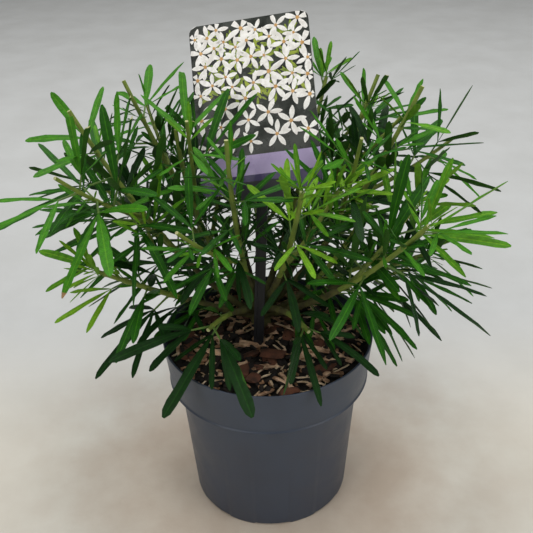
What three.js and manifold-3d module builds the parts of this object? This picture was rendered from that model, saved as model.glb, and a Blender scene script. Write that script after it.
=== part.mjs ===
// A young evergreen shrub with narrow, hand-shaped leaves in a round nursery pot, with a picture card.
// Millimetres, +Z up. The origin is under the middle of the pot's flat base, and -Y is the front.
import * as THREE from "three";
import { mergeVertices } from "three/addons/utils/BufferGeometryUtils.js";
import Module from "manifold-3d";

const wasm = await Module();
wasm.setup();

// Driving dimensions
const GAP = 0.3; // clearance between neighbouring pieces
const DEGREE = Math.PI / 180;
const UP = new THREE.Vector3(0, 0, 1);

const POT = {
  height: 171,
  rimRadius: 95,
  collarHeight: 43,
  collarFootRadius: 90.5,
  neckRadius: 83,
  baseRadius: 74,
  baseEdge: 3,
  wall: 2,
  floor: 3.5,
  sides: 48,
};
const DRAIN = { count: 8, width: 33, reach: 17, depth: 1.5, holes: 4, holeRadius: 4.5, holeSides: 6 };
const COMPOST = {
  depthBelowRim: 11,
  rings: [88, 62, 34],
  sides: 30,
  wave: 1.8,
  flatRadius: 15,
  roughRadius: 40,
};
const COMPOST_TOP = POT.height - COMPOST.depthBelowRim;
const FOOT = new THREE.Vector3(-6, 26, COMPOST_TOP + GAP); // where the shrub comes out of the compost

const CARD = { width: 105, height: 150, thickness: 0.8, corner: 7, yaw: -12.9, lean: 32.6, turn: -10.5 };
const CARD_CENTRE = new THREE.Vector3(-6, 60, 362.6);
const HOLDER = { width: 9, thickness: 3, groove: 0.9, flange: 2.2, buried: 70, steps: 6, point: 0.3 };
const HOLDER_FOOT = new THREE.Vector3(-8.5, -8, COMPOST_TOP);
const CLIP = { width: 36, height: 16, thickness: 5, below: 7 };

// Radii of the short stem, from the flare on the compost to its blunt head
const STEM = { flare: 11, neck: 7, head: 8, height: 28, sides: 12 };
const BOUGH = { rootRadius: 3.1, tipRadius: 2.2, sides: 6, steps: 4 };
const BOUGH_ROOTS = { lowest: 7, rise: 2.6, levels: 5 }; // heights on the stem where boughs start, in turn
const TWIG = { rootRadius: 2.3, tipRadius: 1.5, sides: 3, steps: 3 };
const SIDE_TWIG = {
  share: 0.68,
  shrink: 0.1,
  vary: 0.1,
  divergence: 40,
  lift: 0.2,
  first: 0.1,
  spread: 0.55,
  turn: 137.5,
  sway: 20,
  bare: 0.12,
  thinner: 0.85,
};
const NODE_SPACING = 21;
const CUT_STUB = 0.16; // bare share of a shoot above its last leaves, where its tip was trimmed off
const TRIM = 9; // how far the leaves of a trimmed shoot rise above its tip
// How leaves change from a shoot's foot to its tip, which may be trimmed or young: angle off the shoot in
// degrees, size as a share of a full leaf, and droop. Leaves hang more on a shoot that rises less, and the
// more level they lie.
const SPREAD = { foot: 80, trimmedTip: 60, youngTip: 34, vary: 0.15, sway: 30 };
const GROWTH = { trimmedTip: 0.9, youngTip: 0.62, vary: 0.24 };
const DROOP = { foot: 0.3, tip: 0.1, vary: 0.5, base: 0.3, rise: 75, bend: 1.5 };
const LEAF = {
  length: 62,
  widthShare: 0.15,
  widest: 0.58,
  stalkShare: 0.26,
  stalkHalfWidth: 0.9,
  stalkHalfThick: 0.7,
  rootShare: 0.5,
  web: 4,
  fan: [44, 0, -44],
  sideShare: 0.84,
};
// A leaf in a crowded place folds up along its shoot, and then stays smaller: [fold, scale] in turn
const CROWDED = [[1, 1], [0.72, 1], [0.72, 0.8], [0.48, 0.8], [0.48, 0.62], [1, 0.55]];
const CLEAR = 1.5; // room kept round a leaf
const APART = 7; // least distance between the midlines of two leaves

// One row for each bough and the foliage it carries. Its tip lies in a compass direction (degrees), so far
// out and so far up from the foot. Its curve starts towards a point that is a share of the way out and up.
// Part of it is bare, and the rest has side shoots, the first at a given turn. Leaves have a size, and some
// tips were trimmed off.
const SHOOTS = [
  ["left", 194, 145, 224, 0.55, 0.3, 0.42, 2, 200, 1.2, true],
  ["back_left", 163, 114, 226, 0.5, 0.36, 0.42, 2, 60, 1.0, true],
  ["label_left", 175, 66, 192, 0.9, 0.36, 0.4, 1, 120, 0.85, true],
  ["front_left", 250, 62, 206, 0.9, 0.4, 0.34, 1, 250, 0.85, true],
  ["front", 292, 91, 174, 0.7, 0.4, 0.4, 1, 20, 0.95, false],
  ["front_right", 339, 99, 139, 0.62, 0.3, 0.42, 1, 300, 0.95, true],
  ["right", 321, 162, 152, 0.55, 0.3, 0.5, 1, 20, 1.2, false],
  ["upper_right", 0, 135, 225, 0.55, 0.32, 0.42, 2, 150, 1.0, true],
  ["back_right", 26, 119, 220, 0.52, 0.34, 0.42, 2, 40, 0.95, true],
  ["back", 57, 122, 204, 0.52, 0.34, 0.42, 2, 60, 0.95, false],
  ["low_left", 206, 146, 99, 0.6, 0.5, 0.46, 1, 90, 1.05, false],
  ["low_right", 356, 146, 76, 0.55, 0.5, 0.5, 1, 300, 1.08, false],
  ["front_low_left", 243, 94, 52, 0.5, 0.75, 0.6, 0, 0, 1.45, false],
  ["front_low_right", 294, 97, 51, 0.5, 0.75, 0.6, 0, 0, 1.45, false],
  ["back_low_left", 138, 128, 102, 0.6, 0.5, 0.46, 1, 90, 1.05, false],
  ["back_low_right", 51, 134, 92, 0.6, 0.5, 0.48, 1, 300, 1.05, false],
  ["back_upper", 110, 127, 190, 0.55, 0.35, 0.46, 2, 60, 1.0, true],
  ["back_low", 91, 132, 84, 0.6, 0.5, 0.5, 1, 180, 1.05, false],
].map(([name, azimuth, reach, rise, out, up, bare, sides, fork, leaf, cut]) => {
  return { name, azimuth, reach, rise, out, up, bare, sides, fork, leaf, cut };
});

// Solids
function toSolid(geometry) {
  geometry.deleteAttribute("normal");
  geometry.deleteAttribute("uv");
  const merged = mergeVertices(geometry, 1e-4);
  return new wasm.Manifold(
    new wasm.Mesh({
      numProp: 3,
      vertProperties: new Float32Array(merged.attributes.position.array),
      triVerts: new Uint32Array(merged.index.array),
    }),
  );
}

function toGeometry(solid) {
  const mesh = solid.getMesh();
  const geometry = new THREE.BufferGeometry();
  geometry.setAttribute("position", new THREE.BufferAttribute(new Float32Array(mesh.vertProperties), 3));
  geometry.setIndex(new THREE.BufferAttribute(new Uint32Array(mesh.triVerts), 1));
  geometry.computeVertexNormals();
  return geometry;
}

// The largest body of a solid, without loose scraps
function mainBody(solid) {
  return solid.decompose().reduce((a, b) => (a.volume() > b.volume() ? a : b));
}

// A solid of revolution about +Z from [radius, height] pairs that start and end on the axis
function revolve(profile, sides) {
  const points = profile.map(([radius, height]) => new THREE.Vector2(radius, height));
  return new THREE.LatheGeometry(points, sides).rotateX(Math.PI / 2);
}

// Moves every vertex of a geometry by a function of its place
function reshape(geometry, place) {
  const position = geometry.attributes.position;
  const vertex = new THREE.Vector3();
  for (let i = 0; i < position.count; i++) {
    vertex.fromBufferAttribute(position, i);
    const moved = place(vertex.x, vertex.y, vertex.z);
    position.setXYZ(i, moved.x, moved.y, moved.z);
  }
  return geometry;
}

// A tapering limb along a plane curve, with flat ends
function limb(curve, from, to, rootRadius, tipRadius, sides, steps) {
  const ends = [curve.v0, curve.v1, curve.v2];
  const across = ends[1].clone().sub(ends[0]).cross(ends[2].clone().sub(ends[0])).normalize();
  return reshape(new THREE.CylinderGeometry(tipRadius, rootRadius, 1, sides, steps), (x, y, z) => {
    const t = from + (to - from) * (y + 0.5);
    const other = across.clone().cross(curve.getTangent(t));
    return curve.getPoint(t).addScaledVector(across, x).addScaledVector(other, z);
  });
}

// Seeded numbers from 0 to 1
function seeded(seed) {
  let state = seed >>> 0;
  return () => {
    state = (Math.imul(state, 1664525) + 1013904223) >>> 0;
    return state / 4294967296;
  };
}

const vary = (random, spread) => 1 + spread * (2 * random() - 1);
const mix = (a, b, t) => a + (b - a) * t;

// Pot: a tapered shell with a flared collar over a small ledge, and drain channels under its edge
function potSolid() {
  const { height, rimRadius, collarFootRadius, neckRadius, baseRadius, baseEdge, wall, floor, sides } = POT;
  const ledge = height - POT.collarHeight;
  const shell = toSolid(
    revolve(
      [
        [0, 0],
        [baseRadius - baseEdge, 0],
        [baseRadius, baseEdge],
        [neckRadius, ledge],
        [collarFootRadius, ledge],
        [rimRadius, height],
        [rimRadius - wall, height],
        [collarFootRadius - wall, ledge + wall],
        [neckRadius - wall, ledge + wall],
        [baseRadius - wall, floor],
        [0, floor],
      ],
      sides,
    ),
  );
  const cuts = [];
  for (let i = 0; i < DRAIN.count; i++) {
    const channel = new THREE.BoxGeometry(2 * DRAIN.reach, DRAIN.width, 2 * DRAIN.depth);
    cuts.push(toSolid(channel.translate(baseRadius, 0, 0).rotateZ((i * 2 * Math.PI) / DRAIN.count)));
  }
  for (let i = 0; i < DRAIN.holes; i++) {
    const hole = new THREE.CylinderGeometry(DRAIN.holeRadius, DRAIN.holeRadius, 4 * floor, DRAIN.holeSides);
    hole.rotateX(Math.PI / 2).translate(baseRadius - DRAIN.reach, 0, 0);
    cuts.push(toSolid(hole.rotateZ((i * 2 * Math.PI) / DRAIN.holes)));
  }
  return shell.subtract(wasm.Manifold.union(cuts));
}

// Height of the compost's rough top, flat where the shrub comes out of it
function compostHeight(x, y) {
  const away = Math.hypot(x - FOOT.x, y - FOOT.y);
  const roughness = THREE.MathUtils.smoothstep(away, COMPOST.flatRadius, COMPOST.roughRadius);
  const rough = Math.sin(x / 17 + 1) * Math.cos(y / 21) + 0.5 * Math.sin((x + y) / 9);
  return COMPOST_TOP - (COMPOST.wave / 2) * (1 + rough) * roughness;
}

function compostSolid(holderPocket) {
  const { height, rimRadius, collarFootRadius, neckRadius, baseRadius, wall, floor } = POT;
  const ledge = height - POT.collarHeight;
  const inset = wall + GAP * 1.5;
  const slope = (rimRadius - collarFootRadius) / POT.collarHeight;
  const edgeHeight = COMPOST_TOP - COMPOST.wave;
  const profile = [
    [0, floor + GAP],
    [baseRadius - inset, floor + GAP],
    [neckRadius - inset, ledge + wall + GAP],
    [collarFootRadius - inset, ledge + wall + GAP],
    [collarFootRadius - inset + slope * (edgeHeight - ledge - wall), edgeHeight],
    ...COMPOST.rings.map((radius) => [radius, COMPOST_TOP]),
    [0, COMPOST_TOP],
  ];
  const body = reshape(revolve(profile, COMPOST.sides), (x, y, z) =>
    new THREE.Vector3(x, y, z === COMPOST_TOP ? compostHeight(x, y) : z),
  );
  return toSolid(body).subtract(holderPocket);
}

// Label: a round-cornered card that leans back in a clip on a grooved black bar
const cardFrame = new THREE.Group();
cardFrame.position.copy(CARD_CENTRE);
cardFrame.rotation.set(-CARD.lean * DEGREE, CARD.turn * DEGREE, CARD.yaw * DEGREE, "ZXY");
cardFrame.updateMatrixWorld();
const toCard = cardFrame.matrixWorld.clone().invert();

function cardGeometry(grow) {
  const halfWidth = CARD.width / 2 + grow;
  const halfHeight = CARD.height / 2 + grow;
  const thickness = CARD.thickness + 2 * grow;
  const r = CARD.corner;
  const outline = new THREE.Shape();
  outline.moveTo(-halfWidth + r, -halfHeight);
  outline.lineTo(halfWidth - r, -halfHeight);
  outline.absarc(halfWidth - r, -halfHeight + r, r, -Math.PI / 2, 0);
  outline.lineTo(halfWidth, halfHeight - r);
  outline.absarc(halfWidth - r, halfHeight - r, r, 0, Math.PI / 2);
  outline.lineTo(-halfWidth + r, halfHeight);
  outline.absarc(-halfWidth + r, halfHeight - r, r, Math.PI / 2, Math.PI);
  outline.lineTo(-halfWidth, -halfHeight + r);
  outline.absarc(-halfWidth + r, -halfHeight + r, r, Math.PI, 1.5 * Math.PI);
  const options = { depth: thickness, bevelEnabled: false, curveSegments: 4 };
  const flat = new THREE.ExtrudeGeometry(outline, options);
  return flat.translate(0, 0, -thickness / 2).rotateX(Math.PI / 2);
}

const cardFoot = cardFrame.localToWorld(new THREE.Vector3(0, 0, -CARD.height / 2 - CLIP.below / 2));
const holderAxis = cardFoot.clone().sub(HOLDER_FOOT).normalize();
const holderEnd = HOLDER_FOOT.clone().addScaledVector(holderAxis, -HOLDER.buried);
const holderLength = cardFoot.distanceTo(holderEnd);

// The bar has a groove down its front, and its buried end narrows to a point
function holderBar(grow) {
  const halfWidth = HOLDER.width / 2 + grow;
  const halfThick = HOLDER.thickness / 2 + grow;
  const web = halfThick - HOLDER.groove;
  const inner = halfWidth - HOLDER.flange - 2 * grow;
  const corners = [
    [-halfWidth, -halfThick],
    [-inner, -halfThick],
    [-inner, -web],
    [inner, -web],
    [inner, -halfThick],
    [halfWidth, -halfThick],
    [halfWidth, halfThick],
    [-halfWidth, halfThick],
  ];
  const section = new THREE.Shape(corners.map(([x, y]) => new THREE.Vector2(x, y)));
  const options = { depth: holderLength, steps: HOLDER.steps, bevelEnabled: false };
  const bar = new THREE.ExtrudeGeometry(section, options).translate(0, 0, -grow);
  reshape(bar, (x, y, z) => {
    const narrow = z < holderLength / HOLDER.steps / 2 ? HOLDER.point : 1;
    return new THREE.Vector3(x * narrow, y * narrow, z);
  });
  const across = new THREE.Vector3(1, 0, 0).applyEuler(cardFrame.rotation);
  const depth = holderAxis.clone().cross(across).normalize();
  across.crossVectors(depth, holderAxis);
  return bar.applyMatrix4(new THREE.Matrix4().makeBasis(across, depth, holderAxis).setPosition(holderEnd));
}

function holderSolid() {
  const clip = new THREE.BoxGeometry(CLIP.width, CLIP.thickness, CLIP.height);
  clip.translate(0, 0, CLIP.height / 2 - CARD.height / 2 - CLIP.below).applyMatrix4(cardFrame.matrixWorld);
  const slot = toSolid(cardGeometry(GAP).applyMatrix4(cardFrame.matrixWorld));
  return mainBody(toSolid(holderBar(0)).add(toSolid(clip)).subtract(slot));
}

// Shrub: a short flared stem in the compost, and boughs that spring from its head one above another
function stemGeometry(grow) {
  const { flare, neck, head, height } = STEM;
  const profile = [
    [0, 0],
    [flare + grow, 0],
    [mix(flare, neck, 0.7) + grow, 0.14 * height],
    [neck + grow, 0.4 * height],
    [head + grow, 0.72 * height],
    [0.6 * head + grow, height + grow],
    [0, height + grow],
  ];
  return revolve(profile, STEM.sides).translate(FOOT.x, FOOT.y, FOOT.z);
}

// The curve of a whole shoot, from inside the stem's head out and then up to its tip
function shootCurve(shoot, index) {
  const outward = new THREE.Vector3(Math.cos(shoot.azimuth * DEGREE), Math.sin(shoot.azimuth * DEGREE), 0);
  const root = FOOT.clone();
  root.z += BOUGH_ROOTS.lowest + BOUGH_ROOTS.rise * (index % BOUGH_ROOTS.levels);
  const lead = root.clone().addScaledVector(outward, shoot.out * shoot.reach);
  lead.z += shoot.up * shoot.rise;
  const tip = FOOT.clone().addScaledVector(outward, shoot.reach);
  tip.z += shoot.rise;
  return new THREE.QuadraticBezierCurve3(root, lead, tip);
}

const curves = SHOOTS.map(shootCurve);

function boughGeometry(index, grow) {
  const { rootRadius, tipRadius, sides, steps } = BOUGH;
  return limb(curves[index], 0, SHOOTS[index].bare, rootRadius + grow, tipRadius + grow, sides, steps);
}

// Each bough is trimmed clear of the stem and of the boughs before it
function boughSolids() {
  const grow = GAP / Math.cos(Math.PI / BOUGH.sides);
  let taken = toSolid(stemGeometry(grow));
  return SHOOTS.map((shoot, index) => {
    const bough = mainBody(toSolid(boughGeometry(index, 0)).subtract(taken));
    taken = taken.add(toSolid(boughGeometry(index, grow)));
    return bough;
  });
}

// Room: every mass of foliage keeps to the space nearest its own shoot, clear of limbs, label and pot
const SAMPLES = 6;
const REACH_ON = 1.3; // the line that stands for a shoot runs on past its tip by this share

function lineOf(curve, from, to) {
  const points = [];
  for (let i = 0; i <= SAMPLES; i++) points.push(curve.getPoint(mix(from, Math.min(to, 1), i / SAMPLES)));
  if (to > 1) {
    const end = points.at(-1);
    points.push(end.clone().addScaledVector(curve.getTangent(1), (to - 1) * curve.getLength()));
  }
  return points;
}

const nearest = new THREE.Vector3();
const segment = new THREE.Line3();
function distanceTo(line, point) {
  let least = Infinity;
  for (let i = 1; i < line.length; i++) {
    segment.set(line[i - 1], line[i]).closestPointToPoint(point, true, nearest);
    least = Math.min(least, nearest.distanceTo(point));
  }
  return least;
}

const shootLines = curves.map((curve, i) => lineOf(curve, SHOOTS[i].bare, REACH_ON));
const boughLines = curves.map((curve, i) => lineOf(curve, 0, SHOOTS[i].bare));
const stemLine = [FOOT, FOOT.clone().setZ(FOOT.z + STEM.height)];
const holderLine = [HOLDER_FOOT, cardFoot];

function inOwnSpace(point, index) {
  if (SHOOTS[index].cut && point.z > FOOT.z + SHOOTS[index].rise + TRIM) return false;
  const own = distanceTo(shootLines[index], point) + CLEAR;
  return shootLines.every((line, other) => other === index || distanceTo(line, point) > own);
}

function clearOfPot(point) {
  const radius = Math.hypot(point.x, point.y);
  const overRim = point.z > POT.height + CLEAR;
  const outside = radius > POT.rimRadius + CLEAR && point.z > CLEAR;
  const inside = radius < POT.rimRadius - POT.wall - CLEAR && point.z > COMPOST_TOP + CLEAR;
  return overRim || outside || inside;
}

function clearOfLabel(points) {
  const margin = CLEAR + LEAF.length * LEAF.widthShare * 0.5;
  const local = points.map((point) => point.clone().applyMatrix4(toCard));
  const halfWidth = CARD.width / 2 + margin;
  const halfHeight = CARD.height / 2 + margin + CLIP.below;
  const over = (p) => Math.abs(p.x) < halfWidth && Math.abs(p.z) < halfHeight;
  const sides = new Set(local.filter(over).map((p) => Math.sign(p.y)));
  const near = local.some((p) => over(p) && Math.abs(p.y) < CLEAR + CLIP.thickness / 2);
  return !near && sides.size < 2;
}

function hasRoom(points, halfWidth, index, ownBoughToo) {
  const margin = halfWidth + CLEAR;
  return (
    points.every(
      (point) =>
        clearOfPot(point) &&
        inOwnSpace(point, index) &&
        distanceTo(holderLine, point) > margin + HOLDER.width / 2 &&
        distanceTo(stemLine, point) > margin + STEM.flare &&
        boughLines.every(
          (line, i) => (i === index && !ownBoughToo) || distanceTo(line, point) > margin + BOUGH.rootRadius,
        ),
    ) && clearOfLabel(points)
  );
}

// Leaves stand in crossed pairs along a shoot: wide and hanging low down, narrow and upright near the tip
function leavesOf(curve, from, to, shoot, random) {
  const length = curve.getLength() * (to - from);
  const count = Math.max(2, Math.round(length / NODE_SPACING));
  const tip = shoot.cut ? "trimmedTip" : "youngTip";
  const fullSize = LEAF.length * shoot.leaf;
  const hang = DROOP.base + DROOP.rise / shoot.rise;
  const leaves = [];
  const firstTurn = 360 * random();
  for (let k = 0; k < count; k++) {
    const share = (k + 0.6) / count;
    const t = mix(from, to, share);
    const node = curve.getPoint(t);
    const axis = curve.getTangent(t);
    const level = UP.clone().cross(axis).normalize();
    const steep = axis.clone().cross(level);
    for (let pair = 0; pair < 2; pair++) {
      const turn = (firstTurn + 90 * k + 180 * pair + SPREAD.sway * (random() - 0.5)) * DEGREE;
      const divergence = mix(SPREAD.foot, SPREAD[tip], share) * vary(random, SPREAD.vary) * DEGREE;
      const size = fullSize * mix(1, GROWTH[tip], share * share) * vary(random, GROWTH.vary);
      const droop = hang * mix(DROOP.foot, DROOP.tip, share) * vary(random, DROOP.vary);
      const radial = level.clone().multiplyScalar(Math.cos(turn)).addScaledVector(steep, Math.sin(turn));
      leaves.push({ node, axis, radial, divergence, size, droop });
    }
  }
  return leaves;
}

// A leaf's own directions, its palm at the end of the stalk, and the lines of its leaflets
function posed(leaf, fold, scale) {
  const angle = leaf.divergence * fold;
  const size = leaf.size * scale;
  const along = leaf.axis.clone().multiplyScalar(Math.cos(angle));
  along.addScaledVector(leaf.radial, Math.sin(angle));
  const side = along.clone().cross(leaf.axis).normalize();
  const normal = side.clone().cross(along);
  const palm = leaf.node.clone().addScaledVector(along, LEAF.stalkShare * size);
  const droop = leaf.droop * Math.hypot(along.x, along.y);
  const leaflets = LEAF.fan.map((degrees) => {
    const turn = degrees * DEGREE;
    const length = size * (degrees === 0 ? 1 : LEAF.sideShare);
    const line = along.clone().multiplyScalar(Math.cos(turn)).addScaledVector(side, Math.sin(turn));
    const edge = side.clone().multiplyScalar(Math.cos(turn)).addScaledVector(along, -Math.sin(turn));
    return { turn, length, line, edge, palm, droop };
  });
  return { node: leaf.node, along, side, normal, palm, leaflets };
}

// A point of a leaflet's blade: a share of the way along its drooping line, and across it
function bladePoint({ palm, line, edge, length, droop }, share, across) {
  const point = palm.clone().addScaledVector(line, share * length).addScaledVector(edge, across);
  return point.addScaledVector(UP, -droop * length * share ** DROOP.bend);
}

function midline(leaflet) {
  return [0.3, 0.42, 0.54, 0.66, 0.78, 0.9, 1].map((share) => bladePoint(leaflet, share, 0));
}

function leafletHasRoom(leaflet, index, taken) {
  if (midline(leaflet).some((point) => taken.some((other) => point.distanceTo(other) < APART))) return false;
  const halfWidth = (leaflet.length * LEAF.widthShare) / 2;
  const tip = bladePoint(leaflet, 1, 0);
  const points = [];
  for (const across of [-halfWidth, 0, halfWidth]) {
    const middle = bladePoint(leaflet, LEAF.widest, across);
    for (let i = 0; i <= 8; i++) points.push(leaflet.palm.clone().lerp(middle, i / 8));
    for (let i = 1; i <= 6; i++) points.push(middle.clone().lerp(tip, i / 6));
  }
  return hasRoom(points, 0, index, true);
}

// The first way of holding a leaf with room for all its leaflets, or else the way that keeps most of them
function settled(leaf, index, taken) {
  let best = null;
  for (const [fold, scale] of CROWDED) {
    const held = posed(leaf, fold, scale);
    const stalk = [0, 0.25, 0.5, 0.75, 1].map((share) => leaf.node.clone().lerp(held.palm, share));
    if (!hasRoom(stalk, LEAF.stalkHalfWidth, index, false)) continue;
    held.leaflets = held.leaflets.filter((leaflet) => leafletHasRoom(leaflet, index, taken));
    if (held.leaflets.length === LEAF.fan.length) return held;
    if (held.leaflets.length > (best ? best.leaflets.length : 0)) best = held;
  }
  return best;
}

// One leaf as a closed skin: a stalk with four edges that opens into its leaflets, thickest where they part
function leafGeometry({ node, along, side, normal, palm, leaflets }) {
  const { stalkHalfWidth, stalkHalfThick, rootShare, web, widest, widthShare } = LEAF;
  const points = [];
  const faces = [];
  const put = (point) => points.push(point) - 1;
  const off = (origin, across, lift) =>
    origin.clone().addScaledVector(side, across).addScaledVector(normal, lift);
  const onBothFaces = (top, bottom, from, to) => faces.push(top, from, to, bottom, to, from);
  const rootRight = put(off(node, rootShare * stalkHalfWidth, 0));
  const rootLeft = put(off(node, -rootShare * stalkHalfWidth, 0));
  const rootTop = put(off(node, 0, rootShare * stalkHalfThick));
  const rootBottom = put(off(node, 0, -rootShare * stalkHalfThick));
  const palmTop = put(off(palm, 0, stalkHalfThick));
  const palmBottom = put(off(palm, 0, -stalkHalfThick));
  const palmRight = put(off(palm, stalkHalfWidth, 0));
  let corner = palmRight;
  leaflets.forEach((leaflet, i) => {
    const halfWidth = (leaflet.length * widthShare) / 2;
    const right = put(bladePoint(leaflet, widest, halfWidth));
    const tip = put(bladePoint(leaflet, 1, 0));
    const left = put(bladePoint(leaflet, widest, -halfWidth));
    const next = leaflets[i + 1];
    const between = next ? (leaflet.turn + next.turn) / 2 : 0;
    const fork = off(palm, web * Math.sin(between), 0).addScaledVector(along, web * Math.cos(between));
    const nextCorner = put(next ? fork : off(palm, -stalkHalfWidth, 0));
    const outline = [corner, right, tip, left, nextCorner];
    for (let k = 1; k < outline.length; k++) onBothFaces(palmTop, palmBottom, outline[k - 1], outline[k]);
    corner = nextCorner;
  });
  onBothFaces(rootTop, rootBottom, rootRight, palmRight);
  onBothFaces(rootTop, rootBottom, corner, rootLeft);
  faces.push(rootTop, palmRight, palmTop, rootBottom, palmBottom, palmRight);
  faces.push(rootTop, palmTop, corner, rootBottom, corner, palmBottom);
  faces.push(rootTop, rootLeft, rootRight, rootBottom, rootRight, rootLeft);
  return new THREE.BufferGeometry().setFromPoints(points).setIndex(faces);
}

// Side shoots leave the main one at a slant and turn upwards
function sideShoots(curve, from, shoot, random) {
  const found = [];
  for (let k = 0; k < shoot.sides; k++) {
    const t = mix(from, 1, SIDE_TWIG.first + (SIDE_TWIG.spread * k) / shoot.sides);
    const start = curve.getPoint(t);
    const axis = curve.getTangent(t);
    const level = UP.clone().cross(axis).normalize();
    const steep = axis.clone().cross(level);
    const turn = (shoot.fork + SIDE_TWIG.turn * k + SIDE_TWIG.sway * (random() - 0.5)) * DEGREE;
    const share = (SIDE_TWIG.share - SIDE_TWIG.shrink * k) * vary(random, SIDE_TWIG.vary);
    const length = curve.getLength() * (1 - from) * share;
    const radial = level.multiplyScalar(Math.cos(turn)).addScaledVector(steep, Math.sin(turn));
    const slant = SIDE_TWIG.divergence * DEGREE;
    const along = axis.multiplyScalar(Math.cos(slant)).addScaledVector(radial, Math.sin(slant));
    const lead = start.clone().addScaledVector(along, 0.5 * length);
    const tip = start.clone().addScaledVector(along, length).addScaledVector(UP, SIDE_TWIG.lift * length);
    found.push(new THREE.QuadraticBezierCurve3(start, lead, tip));
  }
  return found;
}

// One mass of foliage: the leafy end of a shoot with its side shoots, all fused together
function massSolid(shoot, index) {
  const random = seeded(index + 1);
  const curve = curves[index];
  const from = shoot.bare + GAP / curve.getLength();
  const leafy = shoot.cut ? 1 - CUT_STUB * (1 - from) : 1;
  const { rootRadius, tipRadius, sides, steps } = TWIG;
  const pieces = [toSolid(limb(curve, from, 1, rootRadius, tipRadius, sides, steps))];
  const leaves = leavesOf(curve, from, leafy, shoot, random);
  for (const side of sideShoots(curve, from, shoot, random)) {
    const sideLeaves = leavesOf(side, SIDE_TWIG.bare, shoot.cut ? 1 - CUT_STUB : 1, shoot, random);
    if (!hasRoom(lineOf(side, 2 * SIDE_TWIG.bare, 1), rootRadius, index, true)) continue;
    pieces.push(toSolid(limb(side, 0, 1, rootRadius * SIDE_TWIG.thinner, tipRadius, sides, steps)));
    leaves.push(...sideLeaves);
  }
  const taken = [];
  for (const leaf of leaves) {
    const held = settled(leaf, index, taken);
    if (held === null) continue;
    taken.push(...held.leaflets.flatMap(midline));
    pieces.push(toSolid(leafGeometry(held)));
  }
  return mainBody(wasm.Manifold.union(pieces));
}

// Finishes
const finish = (color, roughness) => new THREE.MeshStandardMaterial({ color, roughness, metalness: 0 });
const finishes = {
  pot: finish(0x4b4f56, 0.55),
  compost: finish(0x3a2a20, 0.95),
  holder: finish(0x15161a, 0.45),
  card: finish(0xb9b2c4, 0.35),
  bark: finish(0x6d7a3c, 0.8),
  leaf: finish(0x2f5f2c, 0.5),
  youngLeaf: finish(0x6aa82c, 0.5),
};
const YOUNG = new Set(["front", "right", "low_left"]);

// Assembly
function piece(name, geometry, material) {
  const mesh = new THREE.Mesh(geometry, material);
  mesh.name = name;
  return mesh;
}

const shrub = new THREE.Group();
shrub.add(piece("stem", stemGeometry(0), finishes.bark));
const boughs = boughSolids();
SHOOTS.forEach((shoot, i) => {
  const leafFinish = YOUNG.has(shoot.name) ? finishes.youngLeaf : finishes.leaf;
  shrub.add(piece(`bough_${shoot.name}`, toGeometry(boughs[i]), finishes.bark));
  shrub.add(piece(`foliage_${shoot.name}`, toGeometry(massSolid(shoot, i)), leafFinish));
});

const label = new THREE.Group();
cardFrame.add(piece("label_card", cardGeometry(0), finishes.card));
label.add(cardFrame, piece("label_holder", toGeometry(holderSolid()), finishes.holder));

const plant = new THREE.Group();
plant.add(piece("pot", toGeometry(potSolid()), finishes.pot));
plant.add(piece("compost", toGeometry(compostSolid(toSolid(holderBar(GAP)))), finishes.compost));
plant.add(shrub, label);

export default plant;
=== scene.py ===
# %% [markdown]
# A potted shrub with narrow, hand-shaped leaves, as a garden shop sells it: a grey nursery pot, bark compost,
# a bushy young shrub and a picture card on a black bar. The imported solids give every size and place. This
# lesson dresses them: it loads the solids, then makes one finer piece after another in the same frame.

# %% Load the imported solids
import math

import bpy
import numpy as np
from mathutils import Matrix, Vector


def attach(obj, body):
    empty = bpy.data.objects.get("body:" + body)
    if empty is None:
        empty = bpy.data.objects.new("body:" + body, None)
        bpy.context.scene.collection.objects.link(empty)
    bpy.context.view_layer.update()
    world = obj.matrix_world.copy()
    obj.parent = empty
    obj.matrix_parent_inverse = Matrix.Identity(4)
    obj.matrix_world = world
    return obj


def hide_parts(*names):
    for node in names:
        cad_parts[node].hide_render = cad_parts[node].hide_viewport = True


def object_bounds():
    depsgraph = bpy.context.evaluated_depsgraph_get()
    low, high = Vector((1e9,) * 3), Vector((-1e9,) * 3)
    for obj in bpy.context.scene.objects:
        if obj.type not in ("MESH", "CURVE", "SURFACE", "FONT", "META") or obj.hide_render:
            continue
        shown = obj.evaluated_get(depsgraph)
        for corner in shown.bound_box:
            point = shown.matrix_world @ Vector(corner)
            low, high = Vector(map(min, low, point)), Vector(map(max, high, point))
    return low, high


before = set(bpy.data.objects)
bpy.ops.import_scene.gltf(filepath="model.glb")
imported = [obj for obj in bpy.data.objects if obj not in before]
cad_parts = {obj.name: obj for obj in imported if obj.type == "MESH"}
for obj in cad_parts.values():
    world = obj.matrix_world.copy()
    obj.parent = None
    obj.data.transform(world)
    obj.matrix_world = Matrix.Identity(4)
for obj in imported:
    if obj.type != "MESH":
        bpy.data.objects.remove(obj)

MM = 0.001  # lengths below are millimetres, and a mesh is scaled to metres when it is made
UP = np.array([0.0, 0.0, 1.0])
cad_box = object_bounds()
CAD_LOW = np.array(cad_box[0]) / MM
CAD_HIGH = np.array(cad_box[1]) / MM
print("solids:", len(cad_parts), "from", CAD_LOW.round(1), "to", CAD_HIGH.round(1))

# %% [markdown]
# The photograph looks down on the plant from a little above it. A camera could be aimed by eye, but here its
# place was worked out from the ellipses of the pot's rim and base, so it is set by numbers: where the eye is,
# how far it looks down, and how far it is rolled.

# %% Camera
FIELD_OF_VIEW = math.radians(38)
EYE = Vector((0.5, -579.6, 574.7))
LOOK_DOWN = math.radians(30.19)
ROLL = math.radians(-1.484)
scene = bpy.context.scene


def new_object(name, data):
    """An object with its data, put in the scene."""
    thing = bpy.data.objects.new(name, data)
    scene.collection.objects.link(thing)
    return thing


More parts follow.
